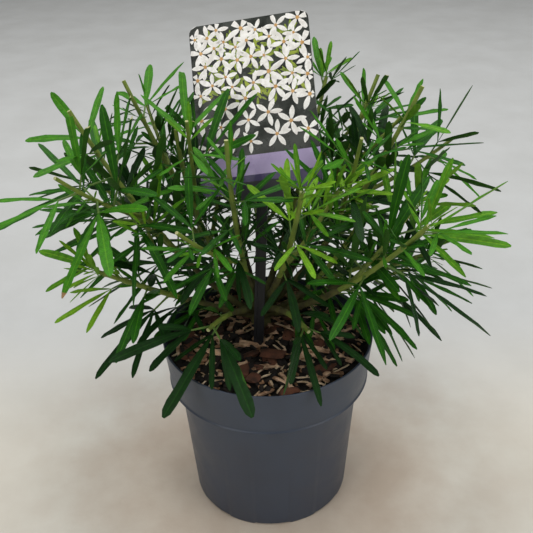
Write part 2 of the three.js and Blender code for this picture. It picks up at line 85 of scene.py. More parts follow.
camera = new_object("camera", bpy.data.cameras.new("camera"))
line_of_sight = Matrix.Rotation(math.pi / 2 - LOOK_DOWN, 4, "X") @ Matrix.Rotation(ROLL, 4, "Z")
camera.matrix_world = Matrix.Translation(EYE * MM) @ line_of_sight
camera.data.angle = FIELD_OF_VIEW
camera.data.clip_start = 0.02
scene.camera = camera
print("camera lens:", round(camera.data.lens, 2), "mm")

# %% [markdown]
# Soft daylight falls on the real plant from all round, most of it from above. Large area lights and a faint
# world give that. One small lamp would throw hard shadows through the leaves, which the photograph lacks.

# %% Light
scene.view_settings.view_transform = "Standard"
scene.world = bpy.data.worlds.new("pale_room")
scene.world.use_nodes = True
background = scene.world.node_tree.nodes["Background"].inputs
background["Color"].default_value = (1.0, 0.99, 0.95, 1)
background["Strength"].default_value = 0.13


def soft_light(name, place, aim, side, power, colour):
    """A square area light at a place, turned towards a point, with a side in metres and a power in watts."""
    data = bpy.data.lights.new(name, "AREA")
    data.size = side
    data.energy = power
    data.color = colour
    light = new_object(name, data)
    light.location = place
    light.rotation_euler = (Vector(aim) - Vector(place)).to_track_quat("-Z", "Y").to_euler()


soft_light("overhead", (0.0, 0.6, 2.3), (0, 0.3, 0.1), 2.8, 63, (1.0, 0.99, 0.96))
soft_light("front_left", (-1.5, -1.7, 1.5), (0, 0, 0.25), 1.4, 18.5, (1.0, 0.97, 0.92))
soft_light("front_right", (1.7, -1.2, 1.2), (0, 0, 0.2), 1.4, 15.5, (1.0, 0.98, 0.95))

# %% [markdown]
# Every piece of the plant is a skin: rings of points set one after another along a path, joined by quads and
# closed by a cap at each end. A leaf, a stem, a chip of bark and the pot are skins with different rings, so
# one helper turns whole arrays of rings into a mesh. Rings run anticlockwise round a path, so faces look out.

# %% Skins
def skins(rings):
    """Closed shapes from rings of shape (shapes, rings, points, 3).

    A quad joins points j and j + 1 of ring i with those of ring i + 1, the last point joins the first, and a
    flat cap closes the first and the last ring.
    """
    count, length, around = rings.shape[:3]
    index = np.arange(count * length * around).reshape(count, length, around)
    beside = np.roll(index, -1, axis=2)
    corners = [index[:, :-1], beside[:, :-1], beside[:, 1:], index[:, 1:]]
    quads = np.stack(corners, axis=-1).reshape(-1, 4)
    return rings.reshape(-1, 3), [quads, index[:, 0, ::-1], index[:, -1]]


def joined(shapes):
    """Several shapes as one: their points in a row, with face corners counted on past the points before."""
    starts = np.cumsum([0] + [len(points) for points, _ in shapes])
    points = np.concatenate([points for points, _ in shapes])
    faces = [corners + start for (_, sets), start in zip(shapes, starts) for corners in sets]
    return points, faces


def new_mesh(name, shape, shades=None, sharp=40):
    """A mesh in metres from a shape in millimetres, smooth but for edges over an angle in degrees."""
    points, face_sets = shape
    sizes = np.concatenate([np.full(len(corners), corners.shape[1]) for corners in face_sets])
    corners = np.concatenate([corners.ravel() for corners in face_sets])
    mesh = bpy.data.meshes.new(name)
    mesh.vertices.add(len(points))
    mesh.vertices.foreach_set("co", (points * MM).ravel())
    mesh.loops.add(len(corners))
    mesh.loops.foreach_set("vertex_index", corners.astype(np.int32))
    mesh.polygons.add(len(sizes))
    mesh.polygons.foreach_set("loop_start", (np.cumsum(sizes) - sizes).astype(np.int32))
    if shades is not None:
        mesh.polygons.foreach_set("material_index", np.asarray(shades, np.int32))
    mesh.update(calc_edges=True)
    mesh.validate()
    mesh.shade_smooth()
    mesh.set_sharp_from_angle(angle=math.radians(sharp))
    return mesh


def new_piece(name, shape, materials, shades=None, sharp=40, nodes=()):
    """An object that rides on the plant's one body and the solids that it stands for."""
    piece = new_object(name, new_mesh(name, shape, shades, sharp))
    for material in materials:
        piece.data.materials.append(material)
    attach(piece, "root")
    if nodes:
        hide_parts(*nodes)
    triangles = sum(len(corners) * (corners.shape[1] - 2) for corners in shape[1])
    print(f"{name}: {triangles} triangles")
    return piece


def unit(vectors):
    """Vectors scaled to length 1."""
    return vectors / np.linalg.norm(vectors, axis=-1, keepdims=True)


def smoothstep(low, high, value):
    """0 below low, 1 above high, and 3t^2 - 2t^3 between them."""
    t = np.clip((value - low) / (high - low), 0, 1)
    return t * t * (3 - 2 * t)


def mix(a, b, t):
    """a + (b - a) t."""
    return a + (b - a) * t


def turns(count):
    """Angles that part a full turn evenly."""
    return np.linspace(0, 2 * math.pi, count, endpoint=False)


def spun(a, b, angle):
    """Two measures square to each other, turned by an angle: a cos - b sin and a sin + b cos."""
    return a * np.cos(angle) - b * np.sin(angle), a * np.sin(angle) + b * np.cos(angle)


# %% [markdown]
# Moulded plastic, bark and leaves all vary a little over their surface. Two shader groups give that to every
# material: one mottles between a pale and a deep colour, one raises a fine grain. Built once as groups, they
# are tuned by their inputs in each material, while the shader itself stays in the material.

# %% Shader groups
def new_group(name, inputs, outputs):
    """A shader node group with named sockets: its tree, and its input and output nodes."""
    tree = bpy.data.node_groups.new(name, "ShaderNodeTree")
    for socket, kind, value in inputs:
        tree.interface.new_socket(socket, in_out="INPUT", socket_type=kind).default_value = value
    for socket, kind in outputs:
        tree.interface.new_socket(socket, in_out="OUTPUT", socket_type=kind)
    return tree, tree.nodes.new("NodeGroupInput"), tree.nodes.new("NodeGroupOutput")


def new_node(tree, kind, inputs, **settings):
    """The outputs of a new shader node, whose inputs get values or are linked to other nodes' sockets."""
    node = tree.nodes.new(f"ShaderNode{kind}")
    for word, value in settings.items():
        setattr(node, word, value)
    for socket, value in inputs.items():
        if isinstance(value, bpy.types.NodeSocket):
            tree.links.new(value, node.inputs[socket])
        else:
            node.inputs[socket].default_value = value
    return node.outputs


def noise_on_object(tree, scale_from, detail):
    """Noise on Object coordinates whose scale, in cycles a metre, comes from a socket."""
    place = new_node(tree, "TexCoord", {})["Object"]
    inputs = {"Vector": place, "Scale": scale_from, "Detail": detail, "Roughness": 0.6}
    return new_node(tree, "TexNoise", inputs)["Fac"]


def mottle_group():
    """Mask = noise stretched to 0..1; Color = the deep colour mixed towards the pale one by the mask."""
    colour, number = "NodeSocketColor", "NodeSocketFloat"
    inputs = [("Pale", colour, (1, 1, 1, 1)), ("Deep", colour, (0, 0, 0, 1)), ("Scale", number, 50)]
    tree, given, made = new_group("mottle", inputs, [("Color", colour), ("Mask", number)])
    noise = noise_on_object(tree, given.outputs["Scale"], 5)
    mask = new_node(tree, "MapRange", {"Value": noise, "From Min": 0.36, "From Max": 0.64})["Result"]
    ends = {"Factor": mask, "A": given.outputs["Deep"], "B": given.outputs["Pale"]}
    tree.links.new(new_node(tree, "Mix", ends, data_type="RGBA")["Result"], made.inputs["Color"])
    tree.links.new(mask, made.inputs["Mask"])
    return tree


def grain_group():
    """Normal = the surface's normal bent by fine noise, with the grain's height in metres."""
    kind = "NodeSocketFloat"
    tree, given, made = new_group(
        "grain", [("Scale", kind, 800), ("Height", kind, 0.0002)], [("Normal", "NodeSocketVector")]
    )
    noise = noise_on_object(tree, given.outputs["Scale"], 4)
    bump = new_node(tree, "Bump", {"Height": noise, "Distance": given.outputs["Height"]})
    tree.links.new(bump["Normal"], made.inputs["Normal"])
    return tree


MOTTLE = mottle_group()
GRAIN = grain_group()


def natural_material(name, pale, deep, patches, rough, grain, height):
    """A mottled, grained finish: colours, patches a metre, roughness range, grains a metre, grain height."""
    material = bpy.data.materials.new(name)
    material.use_nodes = True
    tree = material.node_tree
    shader = tree.nodes["Principled BSDF"].inputs
    colours = {"Pale": (*pale, 1), "Deep": (*deep, 1), "Scale": patches}
    mottle = new_node(tree, "Group", colours, node_tree=MOTTLE)
    relief = new_node(tree, "Group", {"Scale": grain, "Height": height}, node_tree=GRAIN)
    gloss = new_node(tree, "MapRange", {"Value": mottle["Mask"], "To Min": rough[0], "To Max": rough[1]})
    tree.links.new(mottle["Color"], shader["Base Color"])
    tree.links.new(gloss["Result"], shader["Roughness"])
    tree.links.new(relief["Normal"], shader["Normal"])
    return material


print("groups:", [group.name for group in bpy.data.node_groups])

# %% [markdown]
# The floor is a plain pale sheet, far wider than the view, so that its edge lies far off from any side.
# Daylight cools its grey towards the back, and peat dust warms and stains it round the pot. Each is a tint
# that a ramp brings in: one ramp on the distance back, two on the distance from the pot.

# %% Floor
FLOOR_SIDE = 14000
floor_grid = np.stack(np.meshgrid([-0.5, 0.5], [-0.5, 0.5], [0.0]), axis=-1).reshape(4, 3) * FLOOR_SIDE
floor = new_object("floor", new_mesh("floor", (floor_grid, [np.array([[0, 1, 3, 2]])])))
FLOOR_TINTS = [
    ("DOT_PRODUCT", 0.0, 0.3, (0.885, 0.94, 1.055)),  # daylight, on the distance back
    ("LENGTH", 0.21, 0.1, (1.08, 0.99, 0.93)),  # dust, on the distance from the pot
    ("LENGTH", 0.34, 0.16, (0.87, 0.82, 0.79), 13),  # stains, in patches
]
pale_floor = natural_material(
    "pale_floor", (0.64, 0.618, 0.56), (0.60, 0.578, 0.52), 9, (0.7, 0.8), 60, 0.0004
)
floor.data.materials.append(pale_floor)


def tint_by_place(material, measure, start, end, tint, patches=0):
    """Multiplies a material's colour by a tint that a measure of the place, in metres, brings in.

    With patches, so many a metre, the mottle's mask breaks the tint up.
    """
    tree = material.node_tree
    colour = tree.nodes["Principled BSDF"].inputs["Base Color"]
    place = new_node(tree, "TexCoord", {})["Object"]
    measured = new_node(tree, "VectorMath", {0: place, 1: (0, 1, 0)}, operation=measure)["Value"]
    span = {"Value": measured, "From Min": start, "From Max": end}
    amount = new_node(tree, "MapRange", span, interpolation_type="SMOOTHSTEP")["Result"]
    if patches:
        mask = new_node(tree, "Group", {"Scale": patches}, node_tree=MOTTLE)["Mask"]
        amount = new_node(tree, "Math", {0: amount, 1: mask}, operation="MULTIPLY")["Value"]
    ends = {"Factor": amount, "A": colour.links[0].from_socket, "B": (*tint, 1)}
    blend = new_node(tree, "Mix", ends, data_type="RGBA", blend_type="MULTIPLY")
    tree.links.new(blend["Result"], colour)


for floor_tint in FLOOR_TINTS:
    tint_by_place(pale_floor, *floor_tint)
print("floor corners face up:", floor.data.polygons[0].normal.z > 0)

# %% [markdown]
# The pot is thin moulded plastic: a taper, a small ledge, a flared collar and a rounded lip. A lathe is the
# natural way to make it, so its profile runs from the middle of the base round the wall and back inside. The
# corners are rounded by arcs, because moulded edges catch light. Channels under the base let water out.

# %% Pot
POT = {
    "height": 171,
    "rim": 95,
    "collar": 43,
    "collar_foot": 90.5,
    "neck": 83,
    "base": 74,
    "wall": 2,
    "floor": 3.5,
}
LEDGE = POT["height"] - POT["collar"]
DRAIN = {"count": 8, "width": 33, "reach": 17, "depth": 2.2, "holes": 4, "hole_radius": 4.5}
POT_SIDES = 240


def rounded(corners, steps=5):
    """A polyline with arcs at its corners. Each row is (radius, height, size of the arc).

    An arc runs from the point one size before the corner to the point one size after it, as the quadratic
    curve (1-t)^2 before + 2t(1-t) corner + t^2 after.
    """
    corners = np.array(corners, float)
    places = corners[:, :2]
    size = corners[1:-1, 2:]
    middle = places[1:-1]
    before = middle + unit(places[:-2] - middle) * size
    after = middle + unit(places[2:] - middle) * size
    t = np.linspace(0, 1, steps)[None, :, None]
    arcs = (1 - t) ** 2 * before[:, None] + 2 * t * (1 - t) * middle[:, None] + t**2 * after[:, None]
    return np.concatenate([places[:1], arcs.reshape(-1, 2), places[-1:]])


def lathe(profile, sides):
    """Rings of a profile of (radius, height) turned about +Z: x = r cos a, y = r sin a, z = height."""
    angle = turns(sides)
    radius, height = profile[:, :1], profile[:, 1:]
    rings = [radius * np.cos(angle), radius * np.sin(angle), height + 0 * angle]
    return np.stack(rings, axis=-1)


def pot_rings():
    """The lathe, with the outer edge of the underside lifted by the drain's depth inside each channel."""
    wall, depth = POT["wall"], DRAIN["depth"]
    shore = POT["base"] - DRAIN["reach"]
    profile = rounded(
        [
            (5, 0, 0),
            (shore, 0, 0.3),
            (shore + 1.2, 0, 0.3),
            (POT["base"], 0, 1.6),
            (POT["neck"], LEDGE, 2.2),
            (POT["collar_foot"], LEDGE, 0.5),
            (POT["collar_foot"] + 1.5, LEDGE + 1.0, 0.3),
            (POT["collar_foot"] + 0.35, LEDGE + 2.6, 0.5),
            (POT["rim"], POT["height"], 0.95),
            (POT["rim"] - wall, POT["height"], 0.95),
            (POT["collar_foot"] - wall, LEDGE + wall, 1),
            (POT["neck"] - wall, LEDGE + wall, 1),
            (POT["base"] - wall, POT["floor"], 2),
            (5, POT["floor"], 0),
        ]
    )
    rings = lathe(profile, POT_SIDES)
    x, y, z = rings[..., 0], rings[..., 1], rings[..., 2]
    turn = 2 * math.pi / DRAIN["count"]
    angle = np.arctan2(y, x)
    across = np.abs(np.hypot(x, y) * np.sin(angle - turn * np.round(angle / turn)))
    channel = (across < DRAIN["width"] / 2) & (np.hypot(x, y) > shore + 0.8)
    outside = np.arange(len(profile))[:, None] < len(profile) // 2
    rings[..., 2] = np.where(channel & outside, np.maximum(z, depth), z)
    return rings


def cut_holes(piece):
    """Cuts the drain holes by a boolean with round rods, and leaves the result in the piece's mesh."""
    rods = lathe(np.array([[DRAIN["hole_radius"], -9.0], [DRAIN["hole_radius"], 9.0]]), 24)
    turn = np.arange(DRAIN["holes"]) * 2 * math.pi / DRAIN["holes"]
    ring = POT["base"] - DRAIN["reach"]
    places = np.stack([ring * np.cos(turn), ring * np.sin(turn), 0 * turn], axis=-1)
    cutter = new_object("rods", new_mesh("rods", skins(rods[None] + places[:, None, None])))
    boolean = piece.modifiers.new("holes", "BOOLEAN")
    boolean.operation = "DIFFERENCE"
    boolean.object = cutter
    cut = bpy.data.meshes.new_from_object(piece.evaluated_get(bpy.context.evaluated_depsgraph_get()))
    piece.modifiers.clear()
    piece.data = cut
    bpy.data.objects.remove(cutter)
    cut.set_sharp_from_angle(angle=math.radians(35))


pot_plastic = natural_material(
    "pot_plastic", (0.044, 0.059, 0.092), (0.037, 0.049, 0.077), 34, (0.36, 0.5), 2600, 0.00006
)
pot = new_piece("pot_shell", skins(pot_rings()[None]), [pot_plastic], sharp=35, nodes=["pot"])
cut_holes(pot)
print("pot faces with drain holes:", len(pot.data.polygons))

# %% [markdown]
# Compost fills the pot to a finger's breadth below the rim. Its surface is a lathe too, and its top is pushed
# up and down by a sum of waves, so that no two places are alike. The stem stands on a flat patch of it.

# %% Compost
COMPOST_TOP = 160.0
FOOT = np.array([-6.0, 26.0, COMPOST_TOP + 0.3])


def waves(x, y, length, seed, count=7):
    """Mean of sine waves of about one length, in directions and phases dealt from a seed."""
    deal = np.random.default_rng(seed)
    angle, phase = deal.uniform(0, 2 * math.pi, (2, count))
    pitch = 2 * math.pi / (length * deal.uniform(0.7, 1.4, count))
    slant = np.multiply.outer(x, np.cos(angle) * pitch) + np.multiply.outer(y, np.sin(angle) * pitch)
    return np.sin(slant + phase).mean(axis=-1)


def compost_height(x, y):
    """The solid's wavy top, banked up at the back left, with crumbs away from the stem's foot."""
    away = np.hypot(x - FOOT[0], y - FOOT[1])
    swell = np.sin(x / 17 + 1) * np.cos(y / 21) + 0.5 * np.sin((x + y) / 9)
    crumbs = 2.6 * waves(x, y, 9, 1) + 1.7 * waves(x, y, 4, 2)
    bank = (4.2 * (y - x) / POT["rim"] - 0.9 * (1 + swell)) * smoothstep(15, 60, away)
    return COMPOST_TOP - 0.4 + bank + crumbs * smoothstep(10, 18, away)


def compost_rings():
    """A lathe just inside the pot whose top rings follow the compost's height."""
    inset = POT["wall"] + 0.45
    edge = POT["collar_foot"] - inset + 3.2
    sides = [(5, 4), (POT["base"] - inset, 4), (POT["neck"] - inset, LEDGE + 2.4)]
    sides += [(POT["collar_foot"] - inset, LEDGE + 2.4), (edge, COMPOST_TOP - 5)]
    top = [(radius, COMPOST_TOP) for radius in np.linspace(edge - 0.2, 3, 46)]
    rings = lathe(np.array(sides + top, float), 180)
    rings[len(sides) :, :, 2] = compost_height(rings[len(sides) :, :, 0], rings[len(sides) :, :, 1])
    return rings


peat = natural_material("peat", (0.011, 0.008, 0.006), (0.003, 0.002, 0.002), 160, (0.8, 1.0), 700, 0.0012)
new_piece("compost_bed", skins(compost_rings()[None]), [peat], nodes=["compost"])

# %% [markdown]
# Chips of bark, splinters and straw lie all over the compost. Each is a short bar whose section swells and
# shrinks along it, thrown down at a seeded place and turn. They are joined by colour, because hundreds of
# separate objects would be slow to handle.

# %% Bark chips and straw
CHIP_REACH = 90.5  # how far from the pot's axis a chip may lie
CHIP_LIFT = (0.9, 3.2)  # how high above the compost it lies
CHIP_TIP = 0.13  # how far it may be tipped, in radians


def chip_rings(kind, seed):
    """Bars along x of four rings: each ring's size is jittered, and the bar is bent a little.

    Every bar is then tipped, turned about +Z and laid on the compost at a place dealt evenly over it.
    """
    deal = np.random.default_rng(seed)
    count, corners, end = kind["count"], kind["corners"], kind["end"]
    long, wide, high = [deal.uniform(*kind[span], (count, 1, 1)) for span in ("length", "width", "thick")]
    along = np.array([-0.5, -0.3, 0.28, 0.5])[None, :, None]
    angle = (np.arange(corners) + 0.5) * 2 * math.pi / corners
    swell = np.array([end, 1.0, 0.95, end])[None, :, None] / math.cos(math.pi / corners)
    swell = swell * deal.uniform(0.87, 1.1, (count, 4, corners))
    x = long * (along + deal.uniform(-0.04, 0.04, (count, 4, corners)))
    y = wide / 2 * swell * np.cos(angle) + long * deal.uniform(-0.12, 0.12, (count, 1, 1)) * along**2 * 4
    z = high / 2 * swell * np.sin(angle)
    tip = deal.uniform(-CHIP_TIP, CHIP_TIP, (count, 1, 1))
    yaw = deal.uniform(0, 2 * math.pi, (count, 1, 1))
    place = deal.uniform(0, 2 * math.pi, (count, 1, 1))
    room = CHIP_REACH - 0.5 * (long * np.abs(np.cos(yaw - place)) + wide)
    reach = room * np.sqrt(deal.uniform(0, 1, (count, 1, 1)))
    x, z = spun(x, z, tip)
    x, y = spun(x, y, yaw)
    middle_x, middle_y = reach * np.cos(place), reach * np.sin(place)
    lie = compost_height(middle_x, middle_y) + 0.5 * high + deal.uniform(*CHIP_LIFT, (count, 1, 1))
    return np.stack([x + middle_x, y + middle_y, z + lie], axis=-1)


CHIP_WORDS = ("count", "length", "width", "thick", "corners", "end")
CHIPS = {
    "bark_flakes": (44, (11, 23), (7, 12), (1.6, 3.6), 5, 0.7),
    "wood_chips": (64, (12, 29), (2.6, 5.4), (1.4, 2.8), 4, 0.9),
    "dark_crumbs": (420, (3, 10), (2, 5.5), (1.5, 3.5), 5, 0.6),
    "straw": (130, (9, 28), (0.9, 2), (0.6, 1.2), 4, 0.7),
    "pale_crumbs": (190, (2.2, 6.5), (1, 2.8), (0.8, 1.8), 4, 0.7),
}
CHIP_COLOURS = {
    "bark_flakes": ((0.180, 0.068, 0.038), (0.032, 0.014, 0.008)),
    "wood_chips": ((0.95, 0.66, 0.45), (0.22, 0.11, 0.056)),
    "dark_crumbs": ((0.018, 0.011, 0.008), (0.004, 0.003, 0.003)),
    "straw": ((0.95, 0.76, 0.54), (0.30, 0.18, 0.09)),
    "pale_crumbs": ((0.42, 0.24, 0.13), (0.15, 0.075, 0.036)),
}
for seed, (name, row) in enumerate(CHIPS.items(), 11):
    chip_finish = natural_material(name, *CHIP_COLOURS[name], 75, (0.75, 0.95), 900, 0.0006)
    chip_shape = skins(chip_rings(dict(zip(CHIP_WORDS, row)), seed))
    new_piece(name, chip_shape, [chip_finish], sharp=30, nodes=["compost"])

# %% [markdown]
# The shrub grows by a rule. Each row below is one shoot: its compass direction, how far out and up its tip
# lies, where its curve first heads, how much of it is bare, its side shoots, its leaf size, and whether its
# tip was trimmed off. A shoot is a quadratic curve from the stem, so a few numbers place the whole crown.

# %% Shoots
SHOOT_WORDS = ("name", "azimuth", "reach", "rise", "out", "up", "bare", "sides", "fork", "leaf", "cut")
SHOOT_ROWS = [
    ("left", 194, 145, 224, 0.55, 0.3, 0.42, 2, 200, 1.2, True),
    ("back_left", 163, 114, 226, 0.5, 0.36, 0.42, 2, 60, 1.0, True),
    ("label_left", 175, 66, 192, 0.9, 0.36, 0.4, 1, 120, 0.85, True),
    ("front_left", 250, 62, 206, 0.9, 0.4, 0.34, 1, 250, 0.85, True),
    ("front", 292, 91, 174, 0.7, 0.4, 0.4, 1, 20, 0.95, False),
    ("front_right", 339, 99, 139, 0.62, 0.3, 0.42, 1, 300, 0.95, True),
    ("right", 321, 162, 152, 0.55, 0.3, 0.5, 1, 20, 1.2, False),
    ("upper_right", 0, 135, 225, 0.55, 0.32, 0.42, 2, 150, 1.0, True),
    ("back_right", 26, 119, 220, 0.52, 0.34, 0.42, 2, 40, 0.95, True),
    ("back", 57, 122, 204, 0.52, 0.34, 0.42, 2, 60, 0.95, False),
    ("low_left", 206, 146, 99, 0.6, 0.5, 0.46, 1, 90, 1.05, False),
    ("low_right", 356, 146, 76, 0.55, 0.5, 0.5, 1, 300, 1.08, False),
    ("front_low_left", 243, 94, 52, 0.5, 0.75, 0.6, 0, 0, 1.45, False),
    ("front_low_right", 294, 97, 51, 0.5, 0.75, 0.6, 0, 0, 1.45, False),
    ("back_low_left", 138, 128, 102, 0.6, 0.5, 0.46, 1, 90, 1.05, False),
    ("back_low_right", 51, 134, 92, 0.6, 0.5, 0.48, 1, 300, 1.05, False),
    ("back_upper", 110, 127, 190, 0.55, 0.35, 0.46, 2, 60, 1.0, True),
    ("back_low", 91, 132, 84, 0.6, 0.5, 0.5, 1, 180, 1.05, False),
]
SHOOTS = [dict(zip(SHOOT_WORDS, row)) for row in SHOOT_ROWS]
ROOT_HEIGHTS = {"lowest": 7, "rise": 2.6, "levels": 5}


def shoot_controls(shoot, index):
    """Root, lead and tip of a shoot's curve: the root in the stem, the lead a share of the way out and up."""
    turn = math.radians(shoot["azimuth"])
    outward = np.array([math.cos(turn), math.sin(turn), 0])
    root = FOOT + UP * (ROOT_HEIGHTS["lowest"] + ROOT_HEIGHTS["rise"] * (index % ROOT_HEIGHTS["levels"]))
    lead = root + outward * shoot["out"] * shoot["reach"] + UP * shoot["up"] * shoot["rise"]
    return np.array([root, lead, FOOT + outward * shoot["reach"] + UP * shoot["rise"]])


def bezier(controls, t):
    """Points of a quadratic curve: (1-t)^2 root + 2t(1-t) lead + t^2 tip."""
    t = np.asarray(t, float)[..., None]
    return (1 - t) ** 2 * controls[0] + 2 * t * (1 - t) * controls[1] + t**2 * controls[2]


def heading(controls, t):
    """Unit tangents of a quadratic curve: (1-t)(lead - root) + t(tip - lead), scaled to length 1."""
    t = np.asarray(t, float)[..., None]
    return unit((1 - t) * (controls[1] - controls[0]) + t * (controls[2] - controls[1]))


def curve_length(controls):
    """Length of a curve as the sum of 200 short chords."""
    return np.linalg.norm(np.diff(bezier(controls, np.linspace(0, 1, 201)), axis=0), axis=1).sum()


curves = [shoot_controls(shoot, index) for index, shoot in enumerate(SHOOTS)]
print("shoots:", len(curves), "mean length", round(np.mean([curve_length(c) for c in curves])), "mm")

# %% [markdown]
# The stems are olive brown, with thin ridges along them and a swelling where leaves stood. Each bough is a
# tube whose radius depends on the way along and round it, so the bark's relief is real geometry, and the
# short flared stem is a lathe with the same ridges.

# %% Stem and boughs with bark
STEM = {"flare": 11, "neck": 7, "head": 8, "height": 28}
BOUGH = {"root": 3.3, "tip": 2.5}
BOUGH_SIDES = 18


def tube_rings(path, across, radius, sides):
    """Rings round a path: centre + radius (A cos a - O sin a), where A is across and O is A x the tangent."""
    tangent = unit(np.gradient(path, axis=0))
    other = unit(np.cross(across, tangent))
    angle = turns(sides)[None, :, None]
    flat = np.cross(tangent, other)
    spokes = flat[:, None] * np.cos(angle) - other[:, None] * np.sin(angle)
    radius = np.asarray(radius, float).reshape(len(path), -1, 1)
    return path[:, None] + radius * spokes


def bend_normal(controls):
    """The direction square to the plane in which a curve bends."""
    return unit(np.cross(controls[1] - controls[0], controls[2] - controls[0]))


def bark_relief(length, angle, seed):
    """Ridges: waves round the limb that wander along it, plus knobs every 17 mm."""
    ridges = waves(length / 6, 3 * np.cos(angle), 4, seed) + waves(length / 3, 3 * np.sin(angle), 2, seed + 1)
    knobs = np.exp(-(((length + 9 * seed) % 17 - 8.5) / 1.7) ** 2)
    return 0.16 * ridges + 0.16 * knobs


def bough_rings(controls, end, seed):
    """A limb from inside the stem to the point where it enters its leaves, tapering, with bark relief."""
    t = np.linspace(0, end + 0.01, 64)
    way, round_way = np.meshgrid(t * curve_length(controls), turns(BOUGH_SIDES), indexing="ij")
    radius = np.interp(t, [0, end], [BOUGH["root"], BOUGH["tip"]])[:, None]
    radius = radius * (1 + bark_relief(way, round_way, seed))
    return tube_rings(bezier(controls, t), bend_normal(controls), radius, BOUGH_SIDES)


def stem_rings():
    """The short stem: a lathe of its flare, neck and head, with ridges that run up it."""
    height = STEM["height"] * np.linspace(0, 1, 40)
    share = [0, 0.14, 0.4, 0.72, 0.95, 1]
    radii = [STEM["flare"], 8.2, STEM["neck"], STEM["head"], 0.7 * STEM["head"], 3]
    rise, turn = np.meshgrid(height, turns(60), indexing="ij")
    radius = np.interp(height, STEM["height"] * np.array(share), radii)[:, None]
    radius = radius * (1 + 0.8 * bark_relief(rise, turn, 40))
    rings = [radius * np.cos(turn), radius * np.sin(turn), rise]
    return np.stack(rings, axis=-1) + FOOT


bark = natural_material("bark", (0.118, 0.122, 0.032), (0.050, 0.044, 0.016), 120, (0.6, 0.8), 1400, 0.0005)
limb_shapes = [skins(stem_rings()[None])]
for index, (curve, shoot) in enumerate(zip(curves, SHOOTS)):
    limb_shapes.append(skins(bough_rings(curve, shoot["bare"], index)[None]))
limb_nodes = ["stem"] + [f"bough_{shoot['name']}" for shoot in SHOOTS]
new_piece("stems", joined(limb_shapes), [bark], sharp=60, nodes=limb_nodes)

# %% [markdown]
# Leaves stand in crossed pairs along a shoot: spread wide and hanging low down, and closer to it near a young
# tip. The same seeded numbers as in the solids deal out their turns, angles, sizes and droop, so every leaf
# here starts where the solid's leaf does. Whole shoots are worked out at once as arrays.

# %% Where leaves stand
NODE_SPACING = 21
CUT_STUB = 0.16  # leafless share at a trimmed tip
TRIM = 9  # how far leaves may rise past a trimmed tip
SPREAD = {"foot": 80, "trimmed": 60, "young": 34, "vary": 0.15, "sway": 30}
GROWTH = {"trimmed": 0.9, "young": 0.62, "vary": 0.24}
DROOP = {"foot": 0.3, "tip": 0.1, "vary": 0.5, "base": 0.3, "rise": 75, "bend": 1.5}
LEAF_LENGTH = 62
SIDE = {"share": 0.68, "shrink": 0.1, "vary": 0.1, "slant": 40, "lift": 0.2, "first": 0.1, "spread": 0.55}
SIDE_TURN = 137.5
SIDE_SWAY = 20
SIDE_BARE = 0.12


def seeded(seed):
    """An endless row of numbers from 0 to 1: state = 1664525 state + 1013904223, modulo 2^32."""
    state = seed
    while True:
        state = (1664525 * state + 1013904223) % 2**32
        yield state / 2**32


def shoot_frame(controls, t):
    """Place, axis, and the level and the steep direction square to the axis, at parts of a curve."""
    axis = heading(controls, t)
    level = unit(np.cross(UP, axis))
    return bezier(controls, t), axis, level, np.cross(axis, level)


def leaves_on(controls, start, end, shoot, random):
    """One row per leaf: two opposite leaves at each node, each node turned 90 degrees from the one below."""
    count = max(2, math.floor(curve_length(controls) * (end - start) / NODE_SPACING + 0.5))
    tip = "trimmed" if shoot["cut"] else "young"
    first_turn = 360 * next(random)
    drawn = np.array([next(random) for _ in range(8 * count)]).reshape(count, 2, 4)
    share = ((np.arange(count) + 0.6) / count)[:, None]
    node, axis, level, steep = shoot_frame(controls, mix(start, end, share[:, 0]))
    turn = first_turn + 90 * np.arange(count)[:, None] + [0, 180] + SPREAD["sway"] * (drawn[..., 0] - 0.5)
    turn = np.radians(turn)[..., None]
    vary = 2 * drawn - 1
    hang = DROOP["base"] + DROOP["rise"] / shoot["rise"]
    grown = LEAF_LENGTH * shoot["leaf"] * mix(1, GROWTH[tip], share**2)
    rows = {
        "node": np.repeat(node, 2, axis=0),
        "axis": np.repeat(axis, 2, axis=0),
        "radial": (level[:, None] * np.cos(turn) + steep[:, None] * np.sin(turn)).reshape(-1, 3),
        "spread": np.radians(mix(SPREAD["foot"], SPREAD[tip], share) * (1 + SPREAD["vary"] * vary[..., 1])),
        "size": grown * (1 + GROWTH["vary"] * vary[..., 2]),
        "droop": hang * mix(DROOP["foot"], DROOP["tip"], share) * (1 + DROOP["vary"] * vary[..., 3]),
        "share": np.repeat(share, 2, axis=1),
    }
    flat = {word: values.reshape(2 * count, -1).squeeze() for word, values in rows.items()}
    return [{word: values[i] for word, values in flat.items()} for i in range(2 * count)]


def side_controls(controls, start, shoot, random):
    """Curves of a shoot's side shoots: they leave it at a slant, each turned on from the last, and lift."""
    found = []
    for k in range(shoot["sides"]):
        t = mix(start, 1, SIDE["first"] + SIDE["spread"] * k / shoot["sides"])
        foot, axis, level, steep = shoot_frame(controls, t)
        turn = math.radians(shoot["fork"] + SIDE_TURN * k + SIDE_SWAY * (next(random) - 0.5))
        share = (SIDE["share"] - SIDE["shrink"] * k) * (1 + SIDE["vary"] * (2 * next(random) - 1))
        length = curve_length(controls) * (1 - start) * share
        slant = math.radians(SIDE["slant"])
        radial = level * math.cos(turn) + steep * math.sin(turn)
        along = axis * math.cos(slant) + radial * math.sin(slant)
        tip = foot + along * length + UP * SIDE["lift"] * length
        found.append(np.array([foot, foot + along * 0.5 * length, tip]))
    return found


